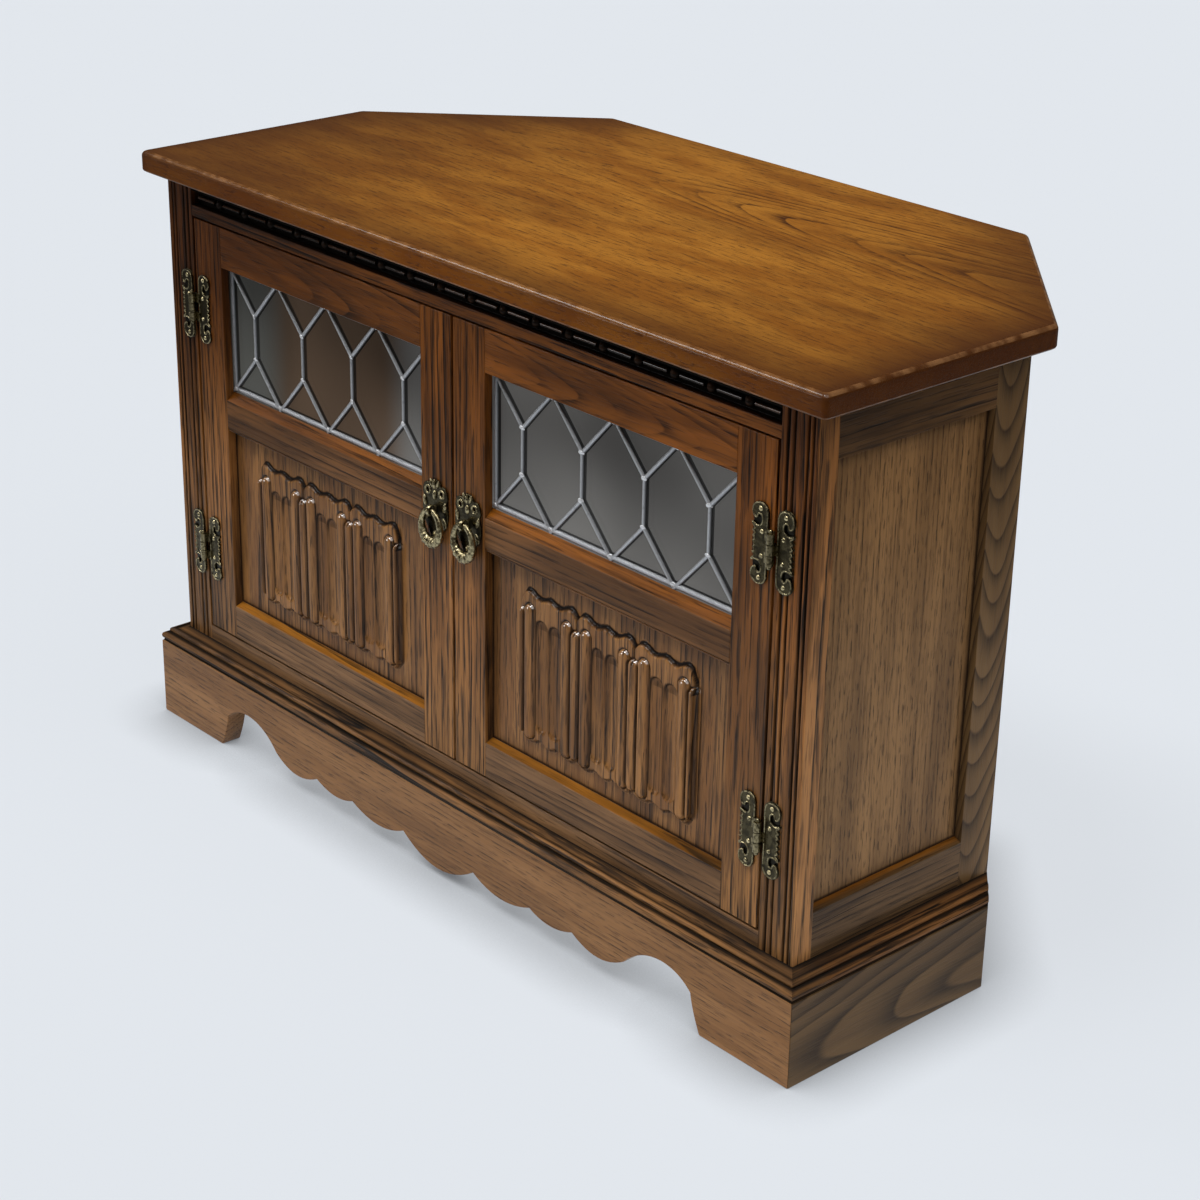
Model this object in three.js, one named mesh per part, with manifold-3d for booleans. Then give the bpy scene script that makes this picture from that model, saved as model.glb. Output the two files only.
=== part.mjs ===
// Corner cupboard: an oak corner unit with a canted plan, two hinged doors, leaded glass above
// linenfold panels, a carved frieze, a moulded base and a scalloped plinth.
// Millimetres. X runs to the right along the front, Y runs to the back, Z is up, and Z = 0 is the floor.
// Inside the file Y = 0 is the face of the carcass; the whole group is then moved so that its origin is
// the centre of its footprint.

import * as THREE from "three";
import { mergeVertices } from "three/addons/utils/BufferGeometryUtils.js";
import Module from "manifold-3d";

const wasm = await Module();
wasm.setup();

// Overall sizes
const height = 600;
const topThickness = 21;
const topHalfWidth = 457;
const topDepth = 450;
const topCornerCut = 184;
const topOverhang = 17;
const topSideOverhang = 19.5;
const topRounding = 5;
const topChamfer = 2.5;
const bodyBackInset = 19;
const cantInset = 26.5;

// Fits
const fitGap = 0.25;
const overrun = 5;

// Corner posts, rear stiles and side frames
const postWidth = 40;
const postDepth = 21;
const reedSink = 2.5;
const frameThickness = 20;
const rearStileFace = 39;
const sideTopRail = 44;
const sideBottomRailSight = 43;
const sideSillRise = 3;
const sidePanelThickness = 6;
const sidePanelRecess = 8;
const sideGrooveDepth = 8;

// Front rails, floor, shelf and back
const friezeRailHeight = 34;
const bottomRailSight = 15;
const railBehindPlinth = 21;
const floorThickness = 18;
const shelfBelowRail = 9;
const shelfThickness = 16;
const shelfSetback = 30;
const battenSize = 15;
const backPanelThickness = 6;
const cantBoardThickness = 12;
const rearRailSize = 20;

// Frieze carving
const friezeStripHeight = 9;
const friezeChannelHeight = 14;
const friezeChannelDepth = 8;
const friezePitch = 42;
const friezeBarLength = 27;
const friezeBarHeight = 5;
const friezeBarSink = 3.5;
const friezeBossRadius = 5.5;
const friezeBossTipRadius = 2.75;
const friezeBossSink = 2;

// Plinth and base moulding
const plinthHeight = 81;
const plinthThickness = 21.5;
const mouldingHeight = 17;
const footWidth = 105;
const archHeight = 50;

// Doors
const doorEndGap = 2;
const doorThickness = 20;
const doorMeetingGap = 3;
const doorHingeGap = 3;
const doorStile = 43;
const doorTopRail = 39.5;
const doorMidRail = 28;
const doorBottomRail = 34.5;
const panelOpeningShare = 0.5874;
const lipDepth = 9;
const rebateWidth = 8;
const glassSillRise = 8.5;
const glassUpstand = 4;
const panelSillRise = 3.5;

// Linenfold panels
const linenFieldThickness = 9;
const linenMarginBeside = 43.5;
const linenMarginAbove = 23;
const linenMarginBelow = 24.5;
const linenFolds = 3;
const linenPlateRise = 4;
const linenRibRise = 3.5;
const linenCorner = 8;

// Leaded glass
const glassThickness = 3;
const cameThickness = 1.5;
const cameWidth = 4.5;
const borderCameWidth = 9;
const leadCells = 4;
const leadStraightShare = 0.1706;
const beadWidth = 7.5;

// Hinges
const hingeFromDoorTop = 88;
const hingeFromDoorBottom = 88.5;
const hingeHalfHeight = 34.5;
const hingeLeafWidth = 17.5;
const hingeLeafThickness = 2;
const hingeKnuckleRadius = 4;
const hingeKnuckleLength = 9;
const hingePinRadius = 1.6;
const hingePinClearance = 0.3;
const hingeFinialRadius = 2;
const hingeFinialRise = 3.2;
const hingeAxisForward = 5.5;
const hingePostLeafOffset = 4;
const hingeDoorLeafOffset = 6.5;
const nailRadius = 1.8;
const nailTipRadius = 0.9;
const nailRise = 1.2;

// Handles
const handleFromMeeting = 21.5;
const handlePivotRise = 17;
const handlePlateAbove = 28;
const handlePlateBelow = 30;
const handlePlateHalfWidth = 18;
const handlePlateThickness = 2;
const ringHalfWidth = 12.3;
const ringHalfHeight = 15.5;
const ringTopRadius = 2.6;
const ringBottomRadius = 4.5;
const ringForward = 7.25;
const eyeWallRadius = 5.4;
const eyeBoreRadius = 3.3;
const eyeWidth = 4;

// Door catch
const catchHalfWidth = 25;
const catchDepth = 12;
const catchHeight = 29;
const catchDrop = 14;

// Places worked out from the sizes above
const topUnderside = height - topThickness;
const topBack = topDepth - topOverhang;
const topSideDepth = topDepth - topCornerCut;
const bodyHalfWidth = topHalfWidth - topSideOverhang;
const topCantSum = topHalfWidth + topSideDepth - topOverhang;
const cantSum = topCantSum - cantInset;
const bodyBack = topBack - bodyBackInset;
const sideEnd = cantSum - bodyHalfWidth;
const frameInside = bodyHalfWidth - frameThickness;
const postInside = bodyHalfWidth - postWidth;
const rearStileFront = sideEnd - rearStileFace;
const backPanelFront = bodyBack - backPanelThickness;
const cornerX = cantSum - bodyBack;
const insideCantSum = cantSum - cantBoardThickness * Math.SQRT2 - fitGap;
const friezeRailBottom = topUnderside - friezeRailHeight;
const friezeChannelTop = topUnderside - friezeStripHeight;
const friezeChannelBottom = friezeChannelTop - friezeChannelHeight;
const hiddenRailBottom = plinthHeight - railBehindPlinth;
const mouldingTop = plinthHeight + mouldingHeight;
const sideBottomRailTop = mouldingTop + sideBottomRailSight;
const doorRowBottom = mouldingTop + bottomRailSight;
const doorBottom = doorRowBottom + doorEndGap;
const doorTop = friezeRailBottom - doorEndGap;
const glassOpeningTop = doorTop - doorTopRail;
const panelOpeningBottom = doorBottom + doorBottomRail;
const openingsHeight = glassOpeningTop - panelOpeningBottom - doorMidRail;
const doorMidRailBottom = panelOpeningBottom + openingsHeight * panelOpeningShare;
const doorMidRailTop = doorMidRailBottom + doorMidRail;
const shelfTop = doorMidRailTop - shelfBelowRail;
const doorInner = doorMeetingGap / 2;
const doorOuter = postInside - doorHingeGap;
const hingeAxisX = postInside - doorHingeGap / 2;
const openingLeft = doorInner + doorStile;
const openingRight = doorOuter - doorStile;
const glassUnitBottom = doorMidRailTop + glassUpstand;
const glassSightBottom = doorMidRailTop + glassSillRise;
const handleX = doorInner + handleFromMeeting;
const handlePivotHeight = doorMidRailBottom + handlePivotRise;
const handlePlateBottom = handlePivotHeight - handlePlateBelow;

// Materials
const oak = (name, colour, roughness) =>
  new THREE.MeshStandardMaterial({ name, color: colour, roughness, metalness: 0 });
const topOak = oak("top_oak", 0x8a4a1c, 0.35);
const bodyOak = oak("body_oak", 0x4d2d18, 0.45);
const plinthOak = oak("plinth_oak", 0x5c3b24, 0.5);
const insideOak = oak("inside_oak", 0x5a3a22, 0.7);
const backPly = oak("back_ply", 0x8c6a44, 0.8);
const metal = (name, colour, roughness) =>
  new THREE.MeshStandardMaterial({ name, color: colour, roughness, metalness: 1 });
const brass = metal("antique_brass", 0x6b6140, 0.4);
const lead = metal("lead", 0x8d9196, 0.45);
const catchPlastic = new THREE.MeshStandardMaterial({
  name: "catch_plastic",
  color: 0x3a2a1e,
  roughness: 0.6,
  metalness: 0,
});
const clearGlass = new THREE.MeshStandardMaterial({
  name: "glass",
  color: 0xd8dedc,
  roughness: 0.05,
  metalness: 0,
  transparent: true,
  opacity: 0.35,
});

// Geometry helpers

// Turns a closed geometry into a solid that can be joined and cut.
function solidFrom(geometry) {
  const bare = geometry.index ? geometry.toNonIndexed() : geometry.clone();
  bare.deleteAttribute("normal");
  bare.deleteAttribute("uv");
  const merged = mergeVertices(bare);
  return new wasm.Manifold(
    new wasm.Mesh({
      numProp: 3,
      vertProperties: new Float32Array(merged.attributes.position.array),
      triVerts: new Uint32Array(merged.index.array),
    }),
  );
}

// Turns a solid back into a geometry.
function geometryFrom(solid) {
  const mesh = solid.getMesh();
  const stride = mesh.numProp;
  const points = new Float32Array((mesh.vertProperties.length / stride) * 3);
  for (let i = 0; i < points.length / 3; i += 1) {
    for (let axis = 0; axis < 3; axis += 1) {
      points[i * 3 + axis] = mesh.vertProperties[i * stride + axis];
    }
  }
  const geometry = new THREE.BufferGeometry();
  geometry.setAttribute("position", new THREE.BufferAttribute(points, 3));
  geometry.setIndex(new THREE.BufferAttribute(new Uint32Array(mesh.triVerts), 1));
  return geometry;
}

// Joins every geometry of a list into one.
function joined(geometries) {
  let whole = solidFrom(geometries[0]);
  for (const extra of geometries.slice(1)) {
    whole = whole.add(solidFrom(extra));
  }
  return geometryFrom(whole);
}

// Cuts every geometry of a list out of the first one.
function cutFrom(base, cutters) {
  let rest = solidFrom(base);
  for (const cutter of cutters) {
    rest = rest.subtract(solidFrom(cutter));
  }
  return geometryFrom(rest);
}

// A box between two limits on each axis.
function boxBetween(x, y, z) {
  const geometry = new THREE.BoxGeometry(x[1] - x[0], y[1] - y[0], z[1] - z[0]);
  geometry.translate((x[0] + x[1]) / 2, (y[0] + y[1]) / 2, (z[0] + z[1]) / 2);
  return geometry;
}

const shapeOf = (points) => new THREE.Shape(points.map(([a, b]) => new THREE.Vector2(a, b)));

// Extrudes a shape from 0 to a depth along the third axis.
function extrudeShape(shape, depth) {
  return new THREE.ExtrudeGeometry(shape, { depth, bevelEnabled: false, steps: 1, curveSegments: 6 });
}

// Extrudes a plan (x, y) between two heights.
function extrudeUp(points, z) {
  const geometry = extrudeShape(shapeOf(points), z[1] - z[0]);
  geometry.translate(0, 0, z[0]);
  return geometry;
}

// Extrudes a section (y, z) between two places along X.
function extrudeAcross(points, x) {
  const geometry = extrudeShape(shapeOf(points), x[1] - x[0]);
  const turn = new THREE.Matrix4();
  turn.makeBasis(new THREE.Vector3(0, 1, 0), new THREE.Vector3(0, 0, 1), new THREE.Vector3(1, 0, 0));
  geometry.applyMatrix4(turn);
  geometry.translate(x[0], 0, 0);
  return geometry;
}

// Extrudes an outline (x, z), given as a shape or as points, between two depths along Y.
function extrudeBack(outline, y) {
  const shape = outline instanceof THREE.Shape ? outline : shapeOf(outline);
  const geometry = extrudeShape(shape, y[1] - y[0]);
  const turn = new THREE.Matrix4();
  turn.makeBasis(new THREE.Vector3(1, 0, 0), new THREE.Vector3(0, 0, 1), new THREE.Vector3(0, -1, 0));
  geometry.applyMatrix4(turn);
  geometry.translate(0, y[1], 0);
  return geometry;
}

// A geometry from a flat list of coordinates and the corners of its triangles.
function indexedGeometry(points, index) {
  const geometry = new THREE.BufferGeometry();
  geometry.setAttribute("position", new THREE.Float32BufferAttribute(points, 3));
  geometry.setIndex(index);
  return geometry;
}

// A prism of a section whose ends follow two functions of each section point, so that the ends can be
// mitred.
// The section runs counter-clockwise as the start of the prism shows it.
function mitredPrism(section, startOf, endOf) {
  const flat = shapeOf(section).getPoints();
  const count = section.length;
  const points = [...section.map(startOf), ...section.map(endOf)].flat();
  const index = [];
  for (const [a, b, c] of THREE.ShapeUtils.triangulateShape(flat, [])) {
    index.push(a, b, c);
    index.push(a + count, c + count, b + count);
  }
  for (let i = 0; i < count; i += 1) {
    const next = (i + 1) % count;
    index.push(next, i, i + count);
    index.push(next, i + count, next + count);
  }
  return indexedGeometry(points, index);
}

// Points of an arc from one angle to another, both in degrees.
function arcPoints(centre, radius, from, to, steps) {
  return Array.from({ length: steps + 1 }, (_, i) => {
    const angle = THREE.MathUtils.degToRad(from + ((to - from) * i) / steps);
    return [centre[0] + radius * Math.cos(angle), centre[1] + radius * Math.sin(angle)];
  });
}

const cupboard = new THREE.Group();
cupboard.name = "corner_cupboard";

// Adds a named mesh to a group.
function place(group, name, geometry, material) {
  const mesh = new THREE.Mesh(geometry, material);
  mesh.name = name;
  group.add(mesh);
  return mesh;
}

// Top board

// The six-sided plan of the top, drawn in by a distance on every side.
function topPlan(inset) {
  const side = topHalfWidth - inset;
  const front = inset - topOverhang;
  const back = topBack - inset;
  const sum = topCantSum - inset * Math.SQRT2;
  return [
    [-side, front],
    [side, front],
    [side, sum - side],
    [sum - back, back],
    [back - sum, back],
    [-side, sum - side],
  ];
}

// The top board, with a rounded upper edge and a small chamfer below.
function topBoard() {
  const rounding = arcPoints([topRounding, height - topRounding], topRounding, 180, 90, 3);
  const levels = [[topChamfer, topUnderside], [0, topUnderside + topChamfer], ...rounding];
  const rings = levels.map(([inset, z]) => topPlan(inset).map(([x, y]) => [x, y, z]));
  const sides = rings[0].length;
  const points = rings.flat().flat();
  const index = [];
  for (let ring = 0; ring < rings.length - 1; ring += 1) {
    for (let i = 0; i < sides; i += 1) {
      const a = ring * sides + i;
      const b = ring * sides + ((i + 1) % sides);
      index.push(a, b, b + sides, a, b + sides, a + sides);
    }
  }
  const last = (rings.length - 1) * sides;
  for (let i = 1; i < sides - 1; i += 1) {
    index.push(0, i + 1, i);
    index.push(last, last + i, last + i + 1);
  }
  return indexedGeometry(points, index);
}

place(cupboard, "top_board", topBoard(), topOak);

// Carcass sides: each side is built on the right and mirrored for the left

const grooveOuter = bodyHalfWidth - sidePanelRecess + fitGap;
const grooveInner = bodyHalfWidth - sidePanelRecess - sidePanelThickness - fitGap;

// Places of the reeds across the post's face, as shares of its width from the door side.
const reedGrooveShares = [
  [0.17, 0.24],
  [0.34, 0.41],
  [0.69, 0.73],
  [0.81, 0.85],
];

// The corner post: a reeded face and a groove for the side panel in its back.
function cornerPost() {
  const plan = [[postInside, 0]];
  for (const [from, to] of reedGrooveShares) {
    const middle = (from + to) / 2;
    plan.push([postInside + from * postWidth, 0]);
    plan.push([postInside + middle * postWidth, reedSink]);
    plan.push([postInside + to * postWidth, 0]);
  }
  plan.push([bodyHalfWidth, 0]);
  plan.push([bodyHalfWidth, postDepth]);
  plan.push([grooveOuter, postDepth]);
  plan.push([grooveOuter, postDepth - sideGrooveDepth]);
  plan.push([grooveInner, postDepth - sideGrooveDepth]);
  plan.push([grooveInner, postDepth]);
  plan.push([postInside, postDepth]);
  return extrudeUp(plan, [0, topUnderside]);
}

// The rear stile: its back edge is cut along the canted wall line.
function rearStile() {
  const plan = [
    [frameInside, rearStileFront],
    [grooveInner, rearStileFront],
    [grooveInner, rearStileFront + sideGrooveDepth],
    [grooveOuter, rearStileFront + sideGrooveDepth],
    [grooveOuter, rearStileFront],
    [bodyHalfWidth, rearStileFront],
    [bodyHalfWidth, sideEnd],
    [frameInside, cantSum - frameInside],
  ];
  return extrudeUp(plan, [0, topUnderside]);
}

const tenonReach = sideGrooveDepth - fitGap;

// A rail of the side frame: a grooved bar with a stub tenon at each end, from its section (x, z).
function sideRail(section, tenonZ) {
  const bar = mitredPrism(
    section,
    ([x, z]) => [x, postDepth, z],
    ([x, z]) => [x, rearStileFront, z],
  );
  const tenon = boxBetween(
    [grooveInner + fitGap, grooveOuter - fitGap],
    [postDepth - tenonReach, rearStileFront + tenonReach],
    tenonZ,
  );
  return joined([bar, tenon]);
}

const sideTopRailBottom = topUnderside - sideTopRail;

function sideTopRailGeometry() {
  const section = [
    [bodyHalfWidth, topUnderside],
    [frameInside, topUnderside],
    [frameInside, sideTopRailBottom],
    [grooveInner, sideTopRailBottom],
    [grooveInner, sideTopRailBottom + sideGrooveDepth],
    [grooveOuter, sideTopRailBottom + sideGrooveDepth],
    [grooveOuter, sideTopRailBottom],
    [bodyHalfWidth, sideTopRailBottom],
  ];
  const tenonBottom = sideTopRailBottom + sideGrooveDepth + fitGap;
  return sideRail(section, [tenonBottom, topUnderside - fitGap]);
}

function sideBottomRailGeometry() {
  const sill = sideBottomRailTop + sideSillRise;
  const section = [
    [frameInside, hiddenRailBottom],
    [bodyHalfWidth, hiddenRailBottom],
    [bodyHalfWidth, sideBottomRailTop],
    [grooveOuter, sill],
    [grooveOuter, sideBottomRailTop - sideGrooveDepth],
    [grooveInner, sideBottomRailTop - sideGrooveDepth],
    [grooveInner, sill],
    [frameInside, sill],
  ];
  const tenonTop = sideBottomRailTop - sideGrooveDepth - fitGap;
  return sideRail(section, [hiddenRailBottom + fitGap, tenonTop]);
}

function sidePanel() {
  return boxBetween(
    [grooveInner + fitGap, grooveOuter - fitGap],
    [postDepth - tenonReach, rearStileFront + tenonReach],
    [sideBottomRailTop - sideGrooveDepth, sideTopRailBottom + tenonReach],
  );
}

function shelfBatten() {
  const underShelf = shelfTop - shelfThickness;
  return boxBetween(
    [frameInside - battenSize, frameInside],
    [postDepth, insideCantSum - frameInside - battenSize / 2],
    [underShelf - battenSize, underShelf],
  );
}

// The canted back board: both ends are square to the front, so that it butts the stile and the back.
function cantBoard() {
  const across = cantBoardThickness * Math.SQRT2;
  const plan = [
    [frameInside, cantSum - frameInside],
    [cornerX, bodyBack],
    [cornerX, bodyBack - across],
    [frameInside, cantSum - frameInside - across],
  ];
  return extrudeUp(plan, [0, topUnderside]);
}

// Plinth and base moulding

// A side board of the plinth: mitred in front and cut along the wall line behind.
function plinthSide() {
  const outer = bodyHalfWidth + plinthThickness;
  const plan = [
    [bodyHalfWidth, 0],
    [outer, -plinthThickness],
    [outer, cantSum - outer],
    [bodyHalfWidth, sideEnd],
  ];
  return extrudeUp(plan, [0, plinthHeight]);
}

// Where the lobes of the apron meet and hang lowest, and the curve of the arch beside the foot: shares of
// the opening's half width and of the arch height.
const lobeMeetShares = [
  [0.147, 0.51],
  [0.373, 0.48],
  [0.537, 0.5],
  [0.729, 0.54],
];
const lobeLowShares = [
  [0, 0.14],
  [0.254, 0.3],
  [0.452, 0.36],
  [0.636, 0.31],
];
const archShares = [
  { control: [0.785, 0.98], end: [0.862, 1] },
  { control: [0.925, 1], end: [0.965, 0.72] },
  { control: [0.972, 0.42], end: [1, 0] },
];

// The curves of the apron's lower edge on the right half, from the centre to the foot, each with its start,
// control and end point (x, z).
function apronCurves() {
  const span = bodyHalfWidth + plinthThickness - footWidth;
  const at = ([x, z]) => [x * span, z * archHeight];
  const lobes = lobeMeetShares.map((meet, i) => {
    const start = i === 0 ? [-meet[0], meet[1]] : lobeMeetShares[i - 1];
    const level = (start[1] + meet[1]) / 2;
    return { control: [lobeLowShares[i][0], 2 * lobeLowShares[i][1] - level], end: meet };
  });
  let start = [-lobeMeetShares[0][0], lobeMeetShares[0][1]];
  return [...lobes, ...archShares].map(({ control, end }) => {
    const curve = { start: at(start), control: at(control), end: at(end) };
    start = end;
    return curve;
  });
}

// The outline of the plinth's front board, (x, z).
function apronOutline() {
  const half = bodyHalfWidth + plinthThickness;
  const curves = apronCurves();
  const mirrored = ([x, z]) => [-x, z];
  const shape = new THREE.Shape();
  shape.moveTo(-half, 0);
  shape.lineTo(...mirrored(curves[curves.length - 1].end));
  for (const { start, control } of curves.slice(1).reverse()) {
    shape.quadraticCurveTo(...mirrored(control), ...mirrored(start));
  }
  for (const { control, end } of curves) {
    shape.quadraticCurveTo(...control, ...end);
  }
  shape.lineTo(half, 0);
  shape.lineTo(half, plinthHeight);
  shape.lineTo(-half, plinthHeight);
  return shape;
}

// The plinth's front board, with both ends drawn in along the mitre on its back face.
function plinthFront() {
  const geometry = extrudeBack(apronOutline(), [-plinthThickness, 0]);
  const position = geometry.attributes.position;
  for (let i = 0; i < position.count; i += 1) {
    const x = position.getX(i);
    const atBack = Math.abs(position.getY(i)) < fitGap;
    if (atBack && Math.abs(x) > bodyHalfWidth) {
      position.setX(i, Math.sign(x) * bodyHalfWidth);
    }
  }
  return geometry;
}

// The base moulding's section: (distance out from the carcass, height).
function mouldingSection() {
  const out = plinthThickness;
  const footShare = 0.95;
  const lowerBeadShares = { centre: [0.81, 0.32], radius: 0.19, degrees: [-60, 100] };
  const upperBeadShares = { centre: [0.57, 0.69], radius: 0.145, degrees: [-45, 110] };
  const bead = ({ centre, radius, degrees }) => {
    const middle = [centre[0] * out, plinthHeight + centre[1] * mouldingHeight];
    return arcPoints(middle, radius * out, ...degrees, 4);
  };
  const coveShares = [
    [0.46, 0.8],
    [0.27, 0.84],
    [0.12, 0.93],
  ];
  return [
    [0, plinthHeight],
    [out * footShare, plinthHeight],
    ...bead(lowerBeadShares),
    ...bead(upperBeadShares),
    ...coveShares.map(([u, v]) => [u * out, plinthHeight + v * mouldingHeight]),
    [0, mouldingTop],
  ];
}

function frontMoulding() {
  return mitredPrism(
    mouldingSection(),
    ([u, z]) => [-bodyHalfWidth - u, -u, z],
    ([u, z]) => [bodyHalfWidth + u, -u, z],
  );
}

function sideMoulding() {
  return mitredPrism(
    mouldingSection(),
    ([u, z]) => [bodyHalfWidth + u, -u, z],
    ([u, z]) => [bodyHalfWidth + u, sideEnd - u, z],
  );
}

// Front rails, floor, shelf, back and catch

function friezeRail() {
  const across = [-postInside, postInside];
  const rail = boxBetween(across, [0, postDepth], [friezeRailBottom, topUnderside]);
  const channel = boxBetween(
    [-postInside - overrun, postInside + overrun],
    [-overrun, friezeChannelDepth],
    [friezeChannelBottom, friezeChannelTop],
  );
  const grooved = cutFrom(rail, [channel]);
  const middle = (friezeChannelBottom + friezeChannelTop) / 2;
  const backing = friezeChannelDepth + friezeBarHeight / 2;
  const count = Math.floor((postInside * 2) / friezePitch / 2);
  const carvings = [];
  for (let i = -count; i <= count; i += 1) {
    const x = i * friezePitch;
    carvings.push(
      boxBetween(
        [x - friezeBarLength / 2, x + friezeBarLength / 2],
        [friezeBarSink, backing],
        [middle - friezeBarHeight, middle],
      ),
    );
    if (i < count) {
      const depth = backing - friezeBossSink;
      const boss = new THREE.CylinderGeometry(friezeBossRadius, friezeBossTipRadius, depth, 8);
      boss.translate(x + friezePitch / 2, (backing + friezeBossSink) / 2, middle);
      carvings.push(boss);
    }
  }
  return joined([grooved, ...carvings]);
}

function bottomRail() {
  return boxBetween([-postInside, postInside], [0, postDepth], [hiddenRailBottom, doorRowBottom]);
}

// A board that fills the canted plan inside the carcass, from a front line to the back panel.
function plannedBoard(front, z) {
  const side = frameInside;
  const plan = [
    [-side, front],
    [side, front],
    [side, insideCantSum - side],
    [insideCantSum - backPanelFront, backPanelFront],
    [backPanelFront - insideCantSum, backPanelFront],
    [-side, insideCantSum - side],
  ];
  return extrudeUp(plan, z);
}

function backPanel() {
  return boxBetween([-cornerX, cornerX], [backPanelFront, bodyBack], [hiddenRailBottom, topUnderside]);
}

function rearTopRail() {
  const half = insideCantSum - backPanelFront;
  return boxBetween(
    [-half, half],
    [backPanelFront - rearRailSize, backPanelFront],
    [topUnderside - rearRailSize, topUnderside],
  );
}

// The double catch: screwed behind the frieze rail, it hangs down behind the tops of both doors and stops
// them.
function doorCatch() {
  const bottom = friezeRailBottom - catchDrop;
  const section = [
    [doorThickness + fitGap, bottom],
    [postDepth + catchDepth, bottom],
    [postDepth + catchDepth, bottom + catchHeight],
    [postDepth, bottom + catchHeight],
    [postDepth, friezeRailBottom - fitGap],
    [doorThickness + fitGap, friezeRailBottom - fitGap],
  ];
  return extrudeAcross(section, [-catchHalfWidth, catchHalfWidth]);
}

place(cupboard, "frieze_rail", friezeRail(), bodyOak);
place(cupboard, "bottom_rail", bottomRail(), bodyOak);
const floorLevels = [doorRowBottom - floorThickness, doorRowBottom];
const shelfLevels = [shelfTop - shelfThickness, shelfTop];
place(cupboard, "cabinet_floor", plannedBoard(postDepth, floorLevels), insideOak);
place(cupboard, "shelf", plannedBoard(shelfSetback, shelfLevels), insideOak);
place(cupboard, "back_panel", backPanel(), backPly);
place(cupboard, "rear_top_rail", rearTopRail(), insideOak);
place(cupboard, "door_catch", doorCatch(), catchPlastic);
place(cupboard, "plinth_front", plinthFront(), plinthOak);
place(cupboard, "front_base_moulding", frontMoulding(), bodyOak);

// Door frames

// A stile with a rebate along its back inner edge; inner is the side of the opening, 1 to the right or -1.
function doorStileGeometry(x, inner) {
  const [near, far] = inner > 0 ? [x[1], x[0]] : [x[0], x[1]];
  const plan = [
    [far, 0],
    [near, 0],
    [near, lipDepth],
    [near - inner * rebateWidth, lipDepth],
    [near - inner * rebateWidth, doorThickness],
    [far, doorThickness],
  ];
  return extrudeUp(inner > 0 ? plan : plan.reverse(), [doorBottom, doorTop]);
}

// A rail between the stiles: a front part that meets the lips and a back part that fills the rebates.
function doorRail(lipSection, backZ) {
  const lip = extrudeAcross(lipSection, [openingLeft, openingRight]);
  const back = boxBetween(
    [openingLeft - rebateWidth, openingRight + rebateWidth],
    [lipDepth, doorThickness],
    backZ,
  );
  return joined([lip, back]);
}

function doorTopRailGeometry() {
  const section = [
    [0, glassOpeningTop],
    [lipDepth, glassOpeningTop],
    [lipDepth, doorTop],
    [0, doorTop],
  ];
  return doorRail(section, [glassOpeningTop + rebateWidth, doorTop]);
}

function doorMidRailGeometry() {
  const section = [
    [0, doorMidRailBottom],
    [lipDepth, doorMidRailBottom],
    [lipDepth, glassSightBottom],
    [0, doorMidRailTop],
  ];
  return doorRail(section, [doorMidRailBottom + rebateWidth, glassUnitBottom]);
}

function doorBottomRailGeometry() {
  const section = [
    [0, doorBottom],
    [lipDepth, doorBottom],
    [lipDepth, panelOpeningBottom + panelSillRise],
    [0, panelOpeningBottom],
  ];
  return doorRail(section, [doorBottom, panelOpeningBottom - panelSillRise]);
}

// Linenfold panel

const linenMiddle = (openingLeft + openingRight) / 2;
const linenFoldHalf = (openingRight - openingLeft - 2 * linenMarginBeside) / linenFolds / 2;
const linenBlockBottom = panelOpeningBottom + linenMarginBelow;
const linenBlockTop = doorMidRailBottom - linenMarginAbove;

// The centre of each fold of the cloth.
const foldCentres = Array.from(
  { length: linenFolds },
  (_, fold) => linenMiddle + (fold * 2 + 1 - linenFolds) * linenFoldHalf,
);

// The half outline of one fold's hem: shares of the fold's half width and of the linen corner size.
const hemShares = [
  [0, -0.1],
  [0.12, -0.25],
  [0.25, -0.75],
  [0.42, -0.7],
  [0.6, -0.05],
  [0.8, 0],
  [0.93, -0.5],
];

// The hem of the folded cloth, left to right, as points (x, drop) with the drop from the block's edge.
function hemLine() {
  const line = [];
  for (const middle of foldCentres) {
    for (const [x, drop] of [...hemShares].reverse()) {
      line.push([middle - x * linenFoldHalf, drop * linenCorner]);
    }
    for (const [x, drop] of hemShares.slice(1)) {
      line.push([middle + x * linenFoldHalf, drop * linenCorner]);
    }
  }
  return line;
}

// Ribs of one fold: centre and width as shares of the fold's half width, then how far each end stops short
// of the block's top and bottom, as shares of the linen corner size.
const ribShares = [
  { centre: 0.91, width: 0.2, top: 2.6, bottom: 1.2 },
  { centre: 0.56, width: 0.2, top: 1.8, bottom: 0.8 },
  { centre: 0.17, width: 0.26, top: 3.7, bottom: 2.7 },
];

// One rib of the cloth: a half-round bar on the block.
function linenRib(x, halfWidth, z) {
  const foot = lipDepth - linenPlateRise;
  const section = arcPoints([0, 0], 1, 0, 180, 4).map(([a, b]) => [
    x + a * halfWidth,
    foot - b * linenRibRise,
  ]);
  section.push([x - halfWidth, foot + linenPlateRise / 2]);
  section.push([x + halfWidth, foot + linenPlateRise / 2]);
  return extrudeUp(section.reverse(), z);
}

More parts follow.
